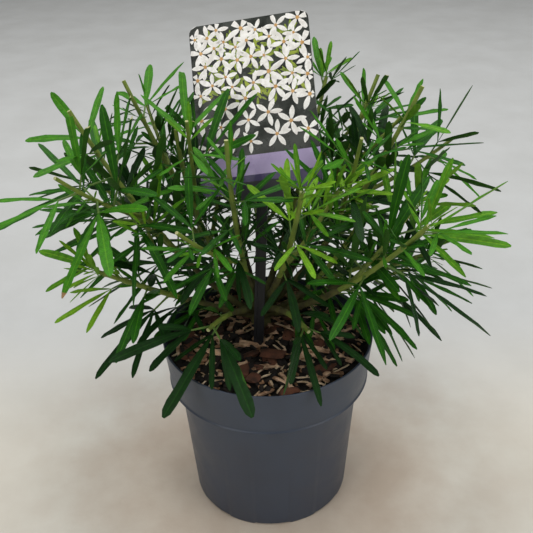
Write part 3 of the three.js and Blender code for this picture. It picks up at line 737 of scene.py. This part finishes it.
def twigs_of(index):
    """All leafy curves of one shoot, main one first: (curve, first and last leafy part, leaves)."""
    shoot, controls, random = SHOOTS[index], curves[index], seeded(index + 1)
    start = shoot["bare"] + 0.3 / curve_length(controls)
    end = 1 - CUT_STUB * (1 - start) if shoot["cut"] else 1
    found = [(controls, start, leaves_on(controls, start, end, shoot, random))]
    side_end = 1 - CUT_STUB if shoot["cut"] else 1
    for side in side_controls(controls, start, shoot, random):
        found.append((side, 0, leaves_on(side, SIDE_BARE, side_end, shoot, random)))
    return found


twigs = [twigs_of(index) for index in range(len(SHOOTS))]
print("leafy twigs:", sum(map(len, twigs)), "leaf places:", sum(len(t[2]) for group in twigs for t in group))

# %% [markdown]
# A leaf that would go through the pot, the card or a stem is held closer to its shoot or stays smaller, as on
# the real plant, where it grew round the obstacle. A leaf of a trimmed shoot that rises past the shears' cut
# loses its tip instead: the blade simply ends there, straight across.

# %% Room for leaves
CARD = {"width": 105, "height": 150, "thickness": 0.8, "corner": 7, "yaw": -12.9, "lean": 32.6, "turn": -10.5}
CARD_CENTRE = np.array([-6, 60, 362.6])
CLIP_BELOW = 7
HOLDER_FOOT = np.array([-8.5, -8, COMPOST_TOP])
CLEAR = 1.5
# How far leaves keep from the card, the compost's top, and the middle lines of the bar and the wood
ROOM = {"card_edge": 4.5, "card_face": 4, "compost": 7, "bar": 5.5, "wood": 2.6}
APART = 4.2
BOX_SLACK = 14  # how far a leaf may pass the solids' box
STALK_SHARE = 0.26


def turn_about(axis, degrees):
    """The matrix that turns points about an axis by an angle."""
    return np.array(Matrix.Rotation(math.radians(degrees), 3, axis))


CARD_AXES = turn_about("Z", CARD["yaw"]) @ turn_about("X", -CARD["lean"]) @ turn_about("Y", CARD["turn"])


def on_card(points):
    """Points given by (across, behind, up) from the card's middle, in the plant's frame."""
    return CARD_CENTRE + points @ CARD_AXES.T


def gap_to_lines(points, starts, ends):
    """Distance from each point to the nearest of many straight pieces."""
    run = ends - starts
    t = np.einsum("psk,sk->ps", points[:, None] - starts, run) / (run**2).sum(axis=1)
    nearest = starts + np.clip(t, 0, 1)[..., None] * run
    return np.linalg.norm(points[:, None] - nearest, axis=2).min(axis=1)


def line_pieces(controls, start, end, count=7):
    """The ends of the straight pieces that stand for part of a curve."""
    points = bezier(controls, np.linspace(start, end, count))
    return points[:-1], points[1:]


holder_line = (HOLDER_FOOT[None], on_card(np.array([[0, 0, -CARD["height"] / 2 - CLIP_BELOW / 2]])))
stem_line = (FOOT[None], FOOT[None] + UP * STEM["height"])
bough_lines = [line_pieces(c, 0, s["bare"]) for c, s in zip(curves, SHOOTS)]
twig_lines = [line_pieces(c, s["bare"], 1) for c, s in zip(curves, SHOOTS)]
wood = []  # for each shoot, straight pieces of all boughs and of the other leafy shoots
for index in range(len(SHOOTS)):
    rows = bough_lines + twig_lines[:index] + twig_lines[index + 1 :]
    wood.append([np.concatenate(ends) for ends in zip(*rows)])


def clear_of_pot(points):
    """Above the rim, outside it, or inside it and above the compost."""
    radius = np.hypot(points[:, 0], points[:, 1])
    over = points[:, 2] > POT["height"] + CLEAR
    outside = (radius > POT["rim"] + CLEAR) & (points[:, 2] > CLEAR)
    inside = (radius < POT["rim"] - POT["wall"] - CLEAR) & (points[:, 2] > COMPOST_TOP + ROOM["compost"])
    return over | outside | inside


def clear_of_card(points):
    """For rows of points: none lies in the card or its clip, and no row passes through the card."""
    across, behind, up = np.moveaxis((points - CARD_CENTRE) @ CARD_AXES, -1, 0)
    beside = np.abs(across) < CARD["width"] / 2 + ROOM["card_edge"]
    over = beside & (np.abs(up) < CARD["height"] / 2 + ROOM["card_edge"] + CLIP_BELOW)
    near = over & (np.abs(behind) < ROOM["card_face"])
    both = (over & (behind > 0)).any(axis=1) & (over & (behind < 0)).any(axis=1)
    return ~near.any(axis=1) & ~both


def room_for(points, index):
    """For rows of points: clear of pot, card, bar, stem and limbs, and inside the solids' box."""
    flat = points.reshape(-1, 3)
    low, high = CAD_LOW - [BOX_SLACK, BOX_SLACK, 0], CAD_HIGH + BOX_SLACK
    fits = clear_of_pot(flat) & (flat > low).all(axis=1) & (flat < high).all(axis=1)
    fits &= gap_to_lines(flat, *holder_line) > ROOM["bar"]
    fits &= gap_to_lines(flat, *stem_line) > STEM["flare"] + CLEAR
    fits &= gap_to_lines(flat, *wood[index]) > ROOM["wood"]
    return fits.reshape(points.shape[:2]).all(axis=1) & clear_of_card(points)


print("straight pieces of wood to keep clear of:", len(wood[0][0]))

# %% [markdown]
# A leaf has a stalk and three to five strap-shaped leaflets that spread like fingers. The helper below holds
# one leaf at its node, tries it folded closer or smaller until its leaflets have room, and keeps the
# leaflets as rows of numbers. The blades themselves come later, all in one array.

# %% Hold each leaf
CROWDED = [(1, 1), (0.72, 1), (0.72, 0.8), (0.48, 0.8), (0.48, 0.62), (1, 0.55)]
FANS = {
    "three": ((44, 0, -44), (0.84, 1, 0.84)),
    "five": ((76, 38, 0, -38, -76), (0.58, 0.86, 1, 0.86, 0.58)),
    "hanging": ((30, 0, -30), (0.5, 1, 0.6)),
}
WIDTH_SHARE = 0.15
LEAST_CUT = 0.34  # a leaflet cut shorter than this share is left off


def droop_line(leaf, share, across):
    """Points of leaflets: palm + line s L + edge across - up droop L s^1.5, by shares and offsets."""
    way = (share * leaf["length"][:, None])[..., None]
    fall = leaf["droop"] * leaf["length"][:, None] * share ** DROOP["bend"]
    points = leaf["palm"] + leaf["line"][:, None] * way + leaf["edge"][:, None] * across[..., None]
    return points - UP * fall[..., None]


def held(leaf, fold, scale, fan):
    """A leaf's stalk, palm and leaflets: the stalk leans off the axis, and the leaflets fan out."""
    angle = leaf["spread"] * fold
    size = leaf["size"] * scale
    along = leaf["axis"] * math.cos(angle) + leaf["radial"] * math.sin(angle)
    side = unit(np.cross(along, leaf["axis"]))
    edge, line = spun(side, along, np.radians(fan[0])[:, None])
    return {
        "node": leaf["node"],
        "side": side,
        "palm": leaf["node"] + along * STALK_SHARE * size,
        "line": line,
        "edge": edge,
        "length": size * np.array(fan[1]),
        "droop": leaf["droop"] * math.hypot(along[0], along[1]),
    }


def shear(pose, height):
    """The share of each leaflet below the shears' cut, from 41 points along it."""
    share = np.linspace(0, 1, 41)[None] + 0 * pose["length"][:, None]
    above = droop_line(pose, share, 0 * share)[..., 2] > height
    return np.where(above.any(axis=1), above.argmax(axis=1) / 40, 1.0)


def settle(leaf, index, taken, height, fan):
    """The first way of holding a leaf in which all its leaflets have room, or the way that keeps most."""
    best = None
    for fold, scale in CROWDED:
        pose = held(leaf, fold, scale, fan)
        stalk = mix(pose["node"], pose["palm"], np.linspace(0.4, 1, 4)[:, None])
        if not room_for(stalk[None], index)[0] or stalk[-1, 2] > height - 2:
            continue
        pose["cut"] = shear(pose, height)
        share = np.linspace(0.15, 1, 9) * pose["cut"][:, None]
        half = WIDTH_SHARE / 2 * pose["length"][:, None] + 0 * share
        spots = np.concatenate([droop_line(pose, share, half * k) for k in (-1, 0, 1)], axis=1)
        middles = droop_line(pose, share[:, 1:], 0 * share[:, 1:])
        far = np.linalg.norm(middles[:, :, None] - taken, axis=-1).min(axis=(1, 2)) > APART
        pose["kept"] = room_for(spots, index) & far & (pose["cut"] > LEAST_CUT)
        pose["middles"] = middles[pose["kept"]].reshape(-1, 3)
        if pose["kept"].all():
            return pose
        if pose["kept"].sum() > (best["kept"].sum() if best else 0):
            best = pose
    return best


# %% [markdown]
# Leaf colour goes by age. Old leaves are dark green, the young ends of three shoots are bright yellow-green,
# and trimmed tops lie between. Each whole spray gets one shade, dealt by the leaf's place on its shoot with a
# little luck. Small young leaves also sprout in the angles of old ones and at untrimmed tips, a few old
# leaves stand on most boughs, and two low shoots hang dark leaves over the rim.

# %% Grow the crown
# Shades are numbered by age: 0 deep, 1 dark, 2 green, 3 fresh, 4 lime
YOUNG, LIME = 3, 4
AGE = {"foot": 0.2, "trimmed": 1.85, "whole": 1.4}
FIVE_SHARE = 0.3  # share of leaves with five leaflets
SPROUT = {"share": 0.32, "spread": (18, 55), "size": (18, 38), "droop": 0.06}
BUD = {"count": 5, "spread": (8, 30), "size": (16, 34), "place": 0.985}
INNER = {"count": 8, "spread": (55, 85), "size": (34, 58), "droop": 0.2}  # old leaves on a bough
LIME_FROM = {"front": 0.4, "right": 0.6, "low_left": 0.6}  # parts of a shoot past which its leaves are young
LIME_AGE = {"front": 3.4, "right": 2.5, "low_left": 3.1}  # how far towards lime those leaves are
LONG_YOUNG = {"right": 1.28}  # shoots whose young leaves are already long
HANGING = ("front_low_left", "front_low_right")  # old shoots whose dark leaves hang over the rim
DRY_SHARE = 0.012  # share of leaflets with a dry tip
deal = np.random.default_rng(20)
crown = {
    word: []
    for word in ("palm", "line", "edge", "length", "droop", "cut", "shade", "small", "dry", "hangs")
}
stalks = {word: [] for word in ("node", "palm", "side", "size")}
taken = np.full((1, 3), 1e6)


def age_shade(shoot, share):
    """Number of a spray's shade: young ends are lime or fresh, trimmed tops green, and the rest dark."""
    start = LIME_FROM.get(shoot["name"], 2)
    age = AGE["foot"] + AGE["trimmed" if shoot["cut"] else "whole"] * share**2 + deal.uniform(-0.6, 0.8)
    if share > start:
        age = LIME_AGE[shoot["name"]] + deal.uniform(-0.6, 0.9)
    if shoot["name"] in HANGING:
        age = 0
    return int(np.clip(round(age), 0, LIME))


def keep_leaf(pose, shade, small, hangs=False):
    """Adds a held leaf's stalk and leaflets to the crown's rows."""
    global taken
    kept = pose["kept"]
    count = int(kept.sum())
    taken = np.concatenate([taken, pose["middles"]])
    for word in ("line", "edge", "length", "cut"):
        crown[word].append(pose[word][kept])
    crown["palm"].append(np.repeat(pose["palm"][None], count, axis=0))
    for word, value in {"droop": pose["droop"], "shade": shade, "small": small, "hangs": hangs}.items():
        crown[word].append(np.full(count, value))
    crown["dry"].append(deal.uniform(0, 1, count) < (0 if small else DRY_SHARE))
    for word in ("node", "palm", "side"):
        stalks[word].append(pose[word])
    stalks["size"].append(pose["length"].max())


def add_leaf(leaf, index, height, fan, shade, small, hangs=False):
    """Settles a leaf, and keeps it if it has room."""
    pose = settle(leaf, index, taken, height, FANS[fan])
    if pose:
        keep_leaf(pose, shade, small, hangs)


def sprout(leaf, spread, size):
    """A small young leaf that stands at a narrow angle beside another one."""
    turned = unit(leaf["radial"] + 0.7 * deal.normal(size=3))
    turned = unit(turned - leaf["axis"] * (turned @ leaf["axis"]))
    return leaf | {"radial": turned, "spread": math.radians(spread), "size": size, "droop": SPROUT["droop"]}


def grow(index):
    """Settles all leaves of one shoot, then the small ones in their angles and at untrimmed tips."""
    shoot = SHOOTS[index]
    hangs = shoot["name"] in HANGING
    for controls, _, leaves in twigs[index]:
        height = math.inf
        if shoot["cut"]:
            height = FOOT[2] + shoot["rise"] + TRIM * deal.uniform(0.1, 1)
        for leaf in leaves:
            fan = "five" if deal.uniform() < FIVE_SHARE else "three"
            shade = age_shade(shoot, leaf["share"])
            if shade >= YOUNG:
                leaf["size"] *= LONG_YOUNG.get(shoot["name"], 1)
            add_leaf(leaf, index, height, "hanging" if hangs else fan, shade, False, hangs)
            if deal.uniform() < (0 if hangs else SPROUT["share"]):
                young = sprout(leaf, deal.uniform(*SPROUT["spread"]), deal.uniform(*SPROUT["size"]))
                add_leaf(young, index, height, "three", min(LIME, shade + 1), True)
        if not shoot["cut"] and not hangs:
            for _ in range(BUD["count"]):
                bud = sprout(leaves[-1], deal.uniform(*BUD["spread"]), deal.uniform(*BUD["size"]))
                bud["node"] = bezier(controls, BUD["place"])
                add_leaf(bud, index, height, "three", LIME if shoot["name"] in LIME_FROM else YOUNG, True)


def inner_leaf(controls, t):
    """A small old leaf on a bough, turned any way round it."""
    node, axis, level, steep = shoot_frame(controls, t)
    turn = deal.uniform(0, 2 * math.pi)
    radial = level * math.cos(turn) + steep * math.sin(turn)
    spread, size = math.radians(deal.uniform(*INNER["spread"])), deal.uniform(*INNER["size"])
    leaf = {"node": node, "axis": axis, "radial": radial, "spread": spread}
    return leaf | {"size": size, "droop": INNER["droop"]}


def fill_inside(index):
    """Settles the old leaves on the outer half of one bough."""
    shoot = SHOOTS[index]
    for t in np.linspace(0.5, 1, INNER["count"]) * shoot["bare"]:
        pose = settle(inner_leaf(curves[index], t), index, taken, math.inf, FANS["three"])
        if pose:
            keep_leaf(pose, int(deal.integers(0, 2)), False)


for index in range(len(SHOOTS)):
    grow(index)
for index, shoot in enumerate(SHOOTS):
    if not shoot["name"].startswith("front"):
        fill_inside(index)
crown = {word: np.concatenate(values) for word, values in crown.items()}
trimmed = int((crown["cut"] < 1).sum())
print("leaves:", len(stalks["node"]), "leaflets:", len(crown["length"]), "cut:", trimmed)

# %% [markdown]
# A blade is a narrow strap, broad from its middle to near its blunt tip, with a sunken midrib and edges that
# lift and turn down a little. It could be a flat card with a picture on it, but that looks like paper from
# the side. Here each is a thin closed skin of some fifty faces, and the strips along it take the colours of
# blade, rib and underside. All blades of a piece are one array: leaflets, stations along, points round.

# %% Leaf blades
STATIONS = np.array([0, 0.1, 0.26, 0.46, 0.68, 0.84, 0.94, 1.0])
THICK = 0.55
FOOT_WIDTH = 0.12  # width at a blade's foot as a share of its greatest
BROAD_FROM = 0.52  # where a blade has its greatest width
CUP = 1.5  # how much a blade is cupped
ANY_TURN = (0, 6.28)  # radians
WAYWARD = {"sickle": 0.05, "roll": 0.22, "twist": 0.35, "slim": (0.74, 1.0)}  # luck of single leaflets
SLIM_FROM = 46  # leaflets longer than this are slimmer for their length
HANGING_BROADER = 1.18  # hanging leaflets are broader for their length
FULL_TO = (0.84, 0.74)  # how far a hanging and another leaflet stay broad
FACE_SKY = 0.6  # how far a blade turns its upper face from its leaf's plane to the sky
# Points round a blade: how far across, how far up as a share of thickness, and the strip that follows
RING_ACROSS = np.array([1, 0, -1, -0.56, -0.1, 0.1, 0.56])
RING_LIFT = np.array([0, -0.75, 0, 0.5, 0.5, 0.5, 0.5])
STRIPS = ("under", "under", "blade", "blade", "rib", "blade", "blade")


def strap(s, full_to):
    """Half-width of a leaflet as a share of its greatest: a sine rise, then past a share a round end."""
    rise = mix(FOOT_WIDTH, 1, np.sin(math.pi / 2 * np.clip(s / BROAD_FROM, 0, 1)) ** 1.1)
    return rise * np.sqrt(1 - np.clip((s - full_to) / (1.005 - full_to), 0, 1) ** 2)


def blade_rings(rows, seed):
    """Rings of leaflets (leaflets, stations, points, 3).

    The middle line droops by s^1.5 and bends sideways by s^2. Across it, n is the leaf's normal turned part
    of the way to the sky and rolled about the tangent, more towards the tip, and e is square to both. A point
    lies at middle + e w v + n (cup + lift), where w is the half-width, v runs from -1 to 1, and the cup is
    1.5 w (0.3 |v| - 0.18 v^2) plus a wavy margin.
    """
    luck = np.random.default_rng(seed)
    count = len(rows["length"])
    length = rows["length"][:, None]
    s = STATIONS[None] * rows["cut"][:, None]
    sickle = luck.normal(0, WAYWARD["sickle"], (count, 1))
    roll = luck.normal(0, WAYWARD["roll"], (count, 1)) + luck.normal(0, WAYWARD["twist"], (count, 1)) * s
    slim = np.minimum(1, SLIM_FROM / length) ** 0.35 * luck.uniform(*WAYWARD["slim"], (count, 1))
    hangs = rows["hangs"][:, None]
    broad = np.where(hangs, HANGING_BROADER, 1)
    width = WIDTH_SHARE * slim * broad / 2 * length * strap(s, np.where(hangs, *FULL_TO))
    drop = -UP * (rows["droop"][:, None] * length * s ** DROOP["bend"])[..., None]
    swing = rows["edge"][:, None] * (sickle * length * s**2)[..., None]
    middle = rows["palm"][:, None] + rows["line"][:, None] * (length * s)[..., None] + drop + swing
    tangent = unit(np.gradient(middle, axis=1))
    sky = unit(UP - tangent * tangent[..., 2:])
    normal = unit(np.cross(rows["edge"][:, None], tangent))
    normal = unit(mix(normal, sky, FACE_SKY))
    normal, edge = spun(normal, np.cross(tangent, normal), roll[..., None])
    v = RING_ACROSS[None, None]
    phase = luck.uniform(*ANY_TURN, (count, 1, 1))
    margin = 0.1 * np.sin(17 * s[..., None] + phase + 2 * v) * v**2
    lift = width[..., None] * CUP * (0.3 * np.abs(v) - 0.18 * v**2 + margin)
    lift = lift + THICK * RING_LIFT * np.clip(width[..., None] / 2.5, 0.35, 1)
    sideways = edge[:, :, None] * (width[..., None] * v)[..., None]
    return middle[:, :, None] + sideways + normal[:, :, None] * lift[..., None]


def leaf_material(name, colour, rough, blotch):
    """A leaf finish: its plain colour, barely mottled by a share, with a sheen and fine veins."""
    pale = tuple(min(1, c * (1 + blotch)) for c in colour)
    deep = tuple(c * (1 - blotch) for c in colour)
    material = natural_material(name, pale, deep, 260, (rough - 0.1, rough + 0.08), 1100, 0.0005)
    material.node_tree.nodes["Principled BSDF"].inputs["Specular IOR Level"].default_value = 0.14
    return material


LEAF_COLOURS = {
    "leaf_deep": ((0.005, 0.033, 0.0035), 0.40),
    "leaf_dark": ((0.016, 0.094, 0.005), 0.40),
    "leaf_green": ((0.040, 0.182, 0.007), 0.42),
    "leaf_fresh": ((0.076, 0.245, 0.010), 0.44),
    "leaf_lime": ((0.150, 0.345, 0.014), 0.46),
    "rib_lime": ((0.215, 0.430, 0.026), 0.5),
    "rib_deep": ((0.011, 0.056, 0.006), 0.45),
    "under_dark": ((0.030, 0.100, 0.012), 0.6),
    "under_lime": ((0.140, 0.320, 0.026), 0.6),
    "cut_edge": ((0.40, 0.40, 0.18), 0.8),
    "dry_tip": ((0.26, 0.16, 0.08), 0.85),
}
leaf_materials = [leaf_material(name, *look, 0.2) for name, look in LEAF_COLOURS.items()]
LEAF_SLOT = {name: number for number, name in enumerate(LEAF_COLOURS)}


def leaf_shades(rows):
    """Material numbers of the blades' quads and caps, strip by strip, with other ends on dry and cut ones."""
    young = rows["shade"] >= YOUNG
    by_strip = {
        "blade": rows["shade"],
        "rib": np.where(rows["shade"] > 0, rows["shade"] + 1, LEAF_SLOT["rib_deep"]),
        "under": np.where(young, LEAF_SLOT["under_lime"], LEAF_SLOT["under_dark"]),
    }
    quads = np.stack([by_strip[strip] for strip in STRIPS], axis=1)[:, None]
    quads = np.repeat(quads, len(STATIONS) - 1, axis=1)
    quads[rows["dry"], -1:] = LEAF_SLOT["dry_tip"]
    ends = np.where(rows["cut"] < 1, LEAF_SLOT["cut_edge"], rows["shade"])
    return np.concatenate([quads.ravel(), rows["shade"], ends])


masses = [f"foliage_{shoot['name']}" for shoot in SHOOTS]


def leaf_piece(name, chosen, seed):
    """One joined piece of the chosen leaflets."""
    rows = {word: values[chosen] for word, values in crown.items()}
    new_piece(name, skins(blade_rings(rows, seed)), leaf_materials, leaf_shades(rows), 50, masses)


young = crown["shade"] >= YOUNG
leaf_piece("old_leaves", ~young & ~crown["small"], 1)
leaf_piece("young_leaves", young & ~crown["small"], 2)
leaf_piece("sprouts", crown["small"], 3)

# %% [markdown]
# The green twigs carry the leaves on thin stalks. A twig swells at each pair of leaves and, where the shears
# went through it, ends in a pale flat cut. Twigs and stalks are tubes like the boughs, but smoother.

# %% Twigs and stalks
TWIG = {"root": 2.4, "tip": 1.7, "side": 0.85}
STALK = np.array([1.25, 0.85, 0.75, 0.8, 0.6])  # radii along the stalk of a leaf of usual length
twig_green = natural_material(
    "twig_green", (0.210, 0.280, 0.040), (0.125, 0.185, 0.028), 90, (0.5, 0.65), 1500, 0.0003
)
pith = natural_material("pith", (0.50, 0.50, 0.26), (0.38, 0.40, 0.18), 500, (0.7, 0.85), 2500, 0.0003)
stalk_green = natural_material(
    "stalk_green", (0.120, 0.215, 0.035), (0.070, 0.150, 0.025), 90, (0.45, 0.6), 1500, 0.0002
)


def twig_rings(controls, start, leaves, thinner):
    """A tapering tube with a swelling at each pair of leaves: radius (1 + 0.25 exp(-(gap / 1.8 mm)^2))."""
    t = np.linspace(max(0, start - 0.015), 1, 72)
    path = bezier(controls, t)
    nodes = np.array([leaf["node"] for leaf in leaves[::2]])
    gap = np.linalg.norm(path[:, None] - nodes, axis=2).min(axis=1)
    swelling = 1 + 0.25 * np.exp(-((gap / 1.8) ** 2))
    radius = thinner * np.interp(t, [start, 1], [TWIG["root"], TWIG["tip"]]) * swelling
    return tube_rings(path, bend_normal(controls), radius[:, None], 10)


def stalk_rings(node, palm, side, size):
    """A thin stalk from node to palm: a straight tube, widest at the node, that ends just past the palm."""
    path = mix(node, palm, np.linspace(0, 1.06, len(STALK))[:, None])
    return tube_rings(path, side, STALK * np.clip(size / LEAF_LENGTH, 0.4, 1.2), 6)


twig_shapes = []
for group in twigs:
    for number, (controls, start, leaves) in enumerate(group):
        rings = twig_rings(controls, start, leaves, TWIG["side"] if number else 1)
        twig_shapes.append(skins(rings[None]))
twig_sets = [(len(quads) + 1, len(ends)) for _, (quads, _, ends) in twig_shapes]
twig_shades = np.concatenate([np.repeat([0, 1], sizes) for sizes in twig_sets])
new_piece("twigs", joined(twig_shapes), [twig_green, pith], twig_shades, 50, masses)
stalk_shape = skins(np.stack([stalk_rings(*row) for row in zip(*stalks.values())]))
new_piece("leaf_stalks", stalk_shape, [stalk_green], None, 50, masses)

# %% [markdown]
# The card is printed plastic. Its solid already has the right shape, so it stays and gets a glossy white
# finish. The print is laid on it as thin coloured sheets: a near-black ground, plain bands at the foot, and
# white blossoms scattered by a seeded rule that keeps their middles apart.

# %% Picture card
PRINT_STEP = 0.12  # thickness of one layer of print
GLOSS = ((0.22, 0.32), 900, 0.00002)  # roughness range, grains a metre and grain height of glossy plastic
BANDS = [("violet_band", -75, -60), ("lilac_band", -60, -43), ("ground", -43, 75)]
PRINT_COLOURS = {
    "ground": ((0.046, 0.054, 0.048), (0.012, 0.016, 0.013), 60),
    "lilac_band": ((0.44, 0.37, 0.60), (0.38, 0.31, 0.54), 40),
    "violet_band": ((0.070, 0.058, 0.140), (0.052, 0.042, 0.110), 40),
    "petals": ((1.0, 0.995, 0.98), (0.80, 0.78, 0.75), 200),
    "petal_hearts": ((0.70, 0.42, 0.16), (0.52, 0.28, 0.09), 300),
    "print_leaves": ((0.38, 0.46, 0.05), (0.12, 0.20, 0.03), 120),
}


def print_material(name):
    """Glossy printed ink: mottled, very smooth, with hardly any grain."""
    pale, deep, patches = PRINT_COLOURS[name]
    return natural_material(name, pale, deep, patches, *GLOSS)


def band_rings(low, high, layer):
    """A thin sheet on the card between two heights, narrowed where the card's corners are round."""
    up = np.linspace(low, high, 49)
    r = CARD["corner"]
    past = np.clip(np.abs(up) - (CARD["height"] / 2 - r), 0, r)
    half = CARD["width"] / 2 - r + np.sqrt(r**2 - past**2) - 0.02
    front = -CARD["thickness"] / 2 - layer * PRINT_STEP
    back = -CARD["thickness"] / 2 + 0.05
    corners = [(-half, front), (half, front), (half, back), (-half, back)]
    return on_card(np.stack([np.stack([x, y + 0 * up, up], axis=-1) for x, y in corners], axis=1))


for name, low, high in BANDS:
    new_piece(f"print_{name}", skins(band_rings(low, high, 1)[None]), [print_material(name)])

# %% [markdown]
# The blossoms are the leaf blades again, shorter, rounder and flat: five petals about an orange heart, with
# plain green leaves between them.

# %% Printed blossoms
BLOSSOM_TRIES = 1500
BLOSSOM_LOW = (-49, -34, 9.5)  # least place across, place up and size
BLOSSOM_HIGH = (49, 70, 14.5)
BLOSSOM_ROOM = {-34: 0.66, 60: 0.45}  # by height, how far apart as a share of both sizes
PETAL_WIDTH = 0.36  # as a share of its length
LEAST_PETAL = 0.2  # a petal cut shorter than this share is left off
HEART = {"share": 0.13, "width": 1.4, "layer": 6.5}
SPRIG = {"count": 220, "low": (-43, 5), "high": (43, 64), "length": (5, 11), "width": 0.3, "layer": 2}


def scattered(tries, seed):
    """Places and sizes of blossoms: a try stays if it keeps clear of all before it, more so lower down."""
    luck = np.random.default_rng(seed)
    found = np.zeros((0, 3))
    for across, up, size in luck.uniform(BLOSSOM_LOW, BLOSSOM_HIGH, (tries, 3)):
        room = np.interp(up, list(BLOSSOM_ROOM), list(BLOSSOM_ROOM.values())) * (found[:, 2] + size)
        apart = np.hypot(found[:, 0] - across, found[:, 1] - up) > room
        if apart.all():
            found = np.vstack([found, (across, up, size)])
    return found


def in_print(across, up):
    """Whether places lie inside the picture: a rectangle whose upper corners are round."""
    past_side = np.clip(np.abs(across) - (CARD["width"] / 2 - CARD["corner"]), 0, None)
    past_top = np.clip(up - (CARD["height"] / 2 - CARD["corner"]), 0, None)
    return (np.hypot(past_side, past_top) < CARD["corner"] - 0.3) & (up > BANDS[-1][1] + 0.3)


def cut_at_edge(places, turn, length, half_width):
    """The share of each petal inside the picture, from 41 places along it on its middle and both sides."""
    share = np.linspace(0, 1, 41)[None, :, None]
    side = np.array([-1.0, 0.0, 1.0])[None, None] * half_width[:, None, None] * np.clip(4 * share, 0, 1)
    along = share * length[:, None, None]
    across, up = spun(along, side, turn[:, None, None])
    outside = ~in_print(places[:, 0, None, None] + across, places[:, 1, None, None] + up).all(axis=2)
    return np.where(outside.any(axis=1), outside.argmax(axis=1) / 40, 1.0)


def round_petal(s):
    """Half-width of a petal: a sine hump, fuller towards the tip."""
    return np.clip(np.sin(math.pi * np.clip(s, 0.02, 0.97) ** 1.25), 0, 1) ** 0.7


def flat_blades(places, turn, length, cut, layer, width_share):
    """Rings of blades flat on the card: a straight middle line, a petal's width across and a thin swell."""
    front = -CARD["thickness"] / 2 - layer * PRINT_STEP
    base = on_card(np.stack([places[:, 0], front + 0 * turn, places[:, 1]], axis=-1))
    line = np.stack([np.cos(turn), 0 * turn, np.sin(turn)], axis=-1) @ CARD_AXES.T
    edge = -np.cross(CARD_AXES[:, 1], line)
    share = STATIONS[None] * cut[:, None]
    middle = base[:, None] + line[:, None] * (length[:, None] * share)[..., None]
    width = width_share / 2 * length[:, None] * round_petal(share)
    lift = -CARD_AXES[:, 1] * (RING_LIFT * PRINT_STEP)[:, None]
    return middle[:, :, None] + edge[:, None, None] * (width[..., None] * RING_ACROSS)[..., None] + lift


blossoms = scattered(BLOSSOM_TRIES, 5)
heap = 3 + 0.25 * (np.arange(len(blossoms)) % 11)  # neighbours lie on layers of their own
luck = np.random.default_rng(6)
petal_turn = luck.uniform(*ANY_TURN, len(blossoms))[:, None] + np.arange(5) * 2 * math.pi / 5
petal_turn = (petal_turn + luck.uniform(-0.12, 0.12, petal_turn.shape)).ravel()
petal_places, petal_sizes = np.repeat(blossoms[:, :2], 5, axis=0), np.repeat(blossoms[:, 2], 5)
petal_cut = cut_at_edge(petal_places, petal_turn, petal_sizes, PETAL_WIDTH / 2 * petal_sizes)
petal_rows = (petal_places, petal_turn, petal_sizes, petal_cut, np.repeat(heap, 5))
petal_rows = [values[petal_cut > LEAST_PETAL] for values in petal_rows]
heart_turn = np.tile(np.arange(3) * 2 * math.pi / 3, len(blossoms))
heart_places = np.repeat(blossoms[:, :2], 3, axis=0)
heart_sizes = np.repeat(HEART["share"] * blossoms[:, 2], 3)
heart_rows = (heart_places, heart_turn, heart_sizes, 1 + 0 * heart_sizes, HEART["layer"])
sprig_places = luck.uniform(SPRIG["low"], SPRIG["high"], (SPRIG["count"], 2))
sprig_turn = luck.uniform(*ANY_TURN, SPRIG["count"])
sprig_sizes = luck.uniform(*SPRIG["length"], SPRIG["count"])
sprig_rows = (sprig_places, sprig_turn, sprig_sizes, 1 + 0 * sprig_sizes, SPRIG["layer"])
PRINTED = {
    "print_petals": (petal_rows, PETAL_WIDTH, "petals"),
    "print_hearts": (heart_rows, HEART["width"], "petal_hearts"),
    "print_leaves": (sprig_rows, SPRIG["width"], "print_leaves"),
}
for name, (rows, width_share, ink) in PRINTED.items():
    new_piece(name, skins(flat_blades(*rows, width_share)), [print_material(ink)])
print("blossoms:", len(blossoms))

# %% [markdown]
# The card's and the bar's solids stay in view, so only their finish is set here: glossy white plastic for the
# card's edge and back, and black plastic with a fine grain for the grooved bar and its clip.

# %% Card and bar finishes
card_white = natural_material("card_white", (0.78, 0.78, 0.77), (0.72, 0.72, 0.71), 30, *GLOSS)
bar_black = natural_material(
    "bar_black", (0.016, 0.017, 0.022), (0.009, 0.010, 0.013), 60, (0.32, 0.48), 1800, 0.0001
)
for node, finish in (("label_card", card_white), ("label_holder", bar_black)):
    for material_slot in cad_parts[node].material_slots:
        material_slot.material = finish
print("finished solids: label_card, label_holder")
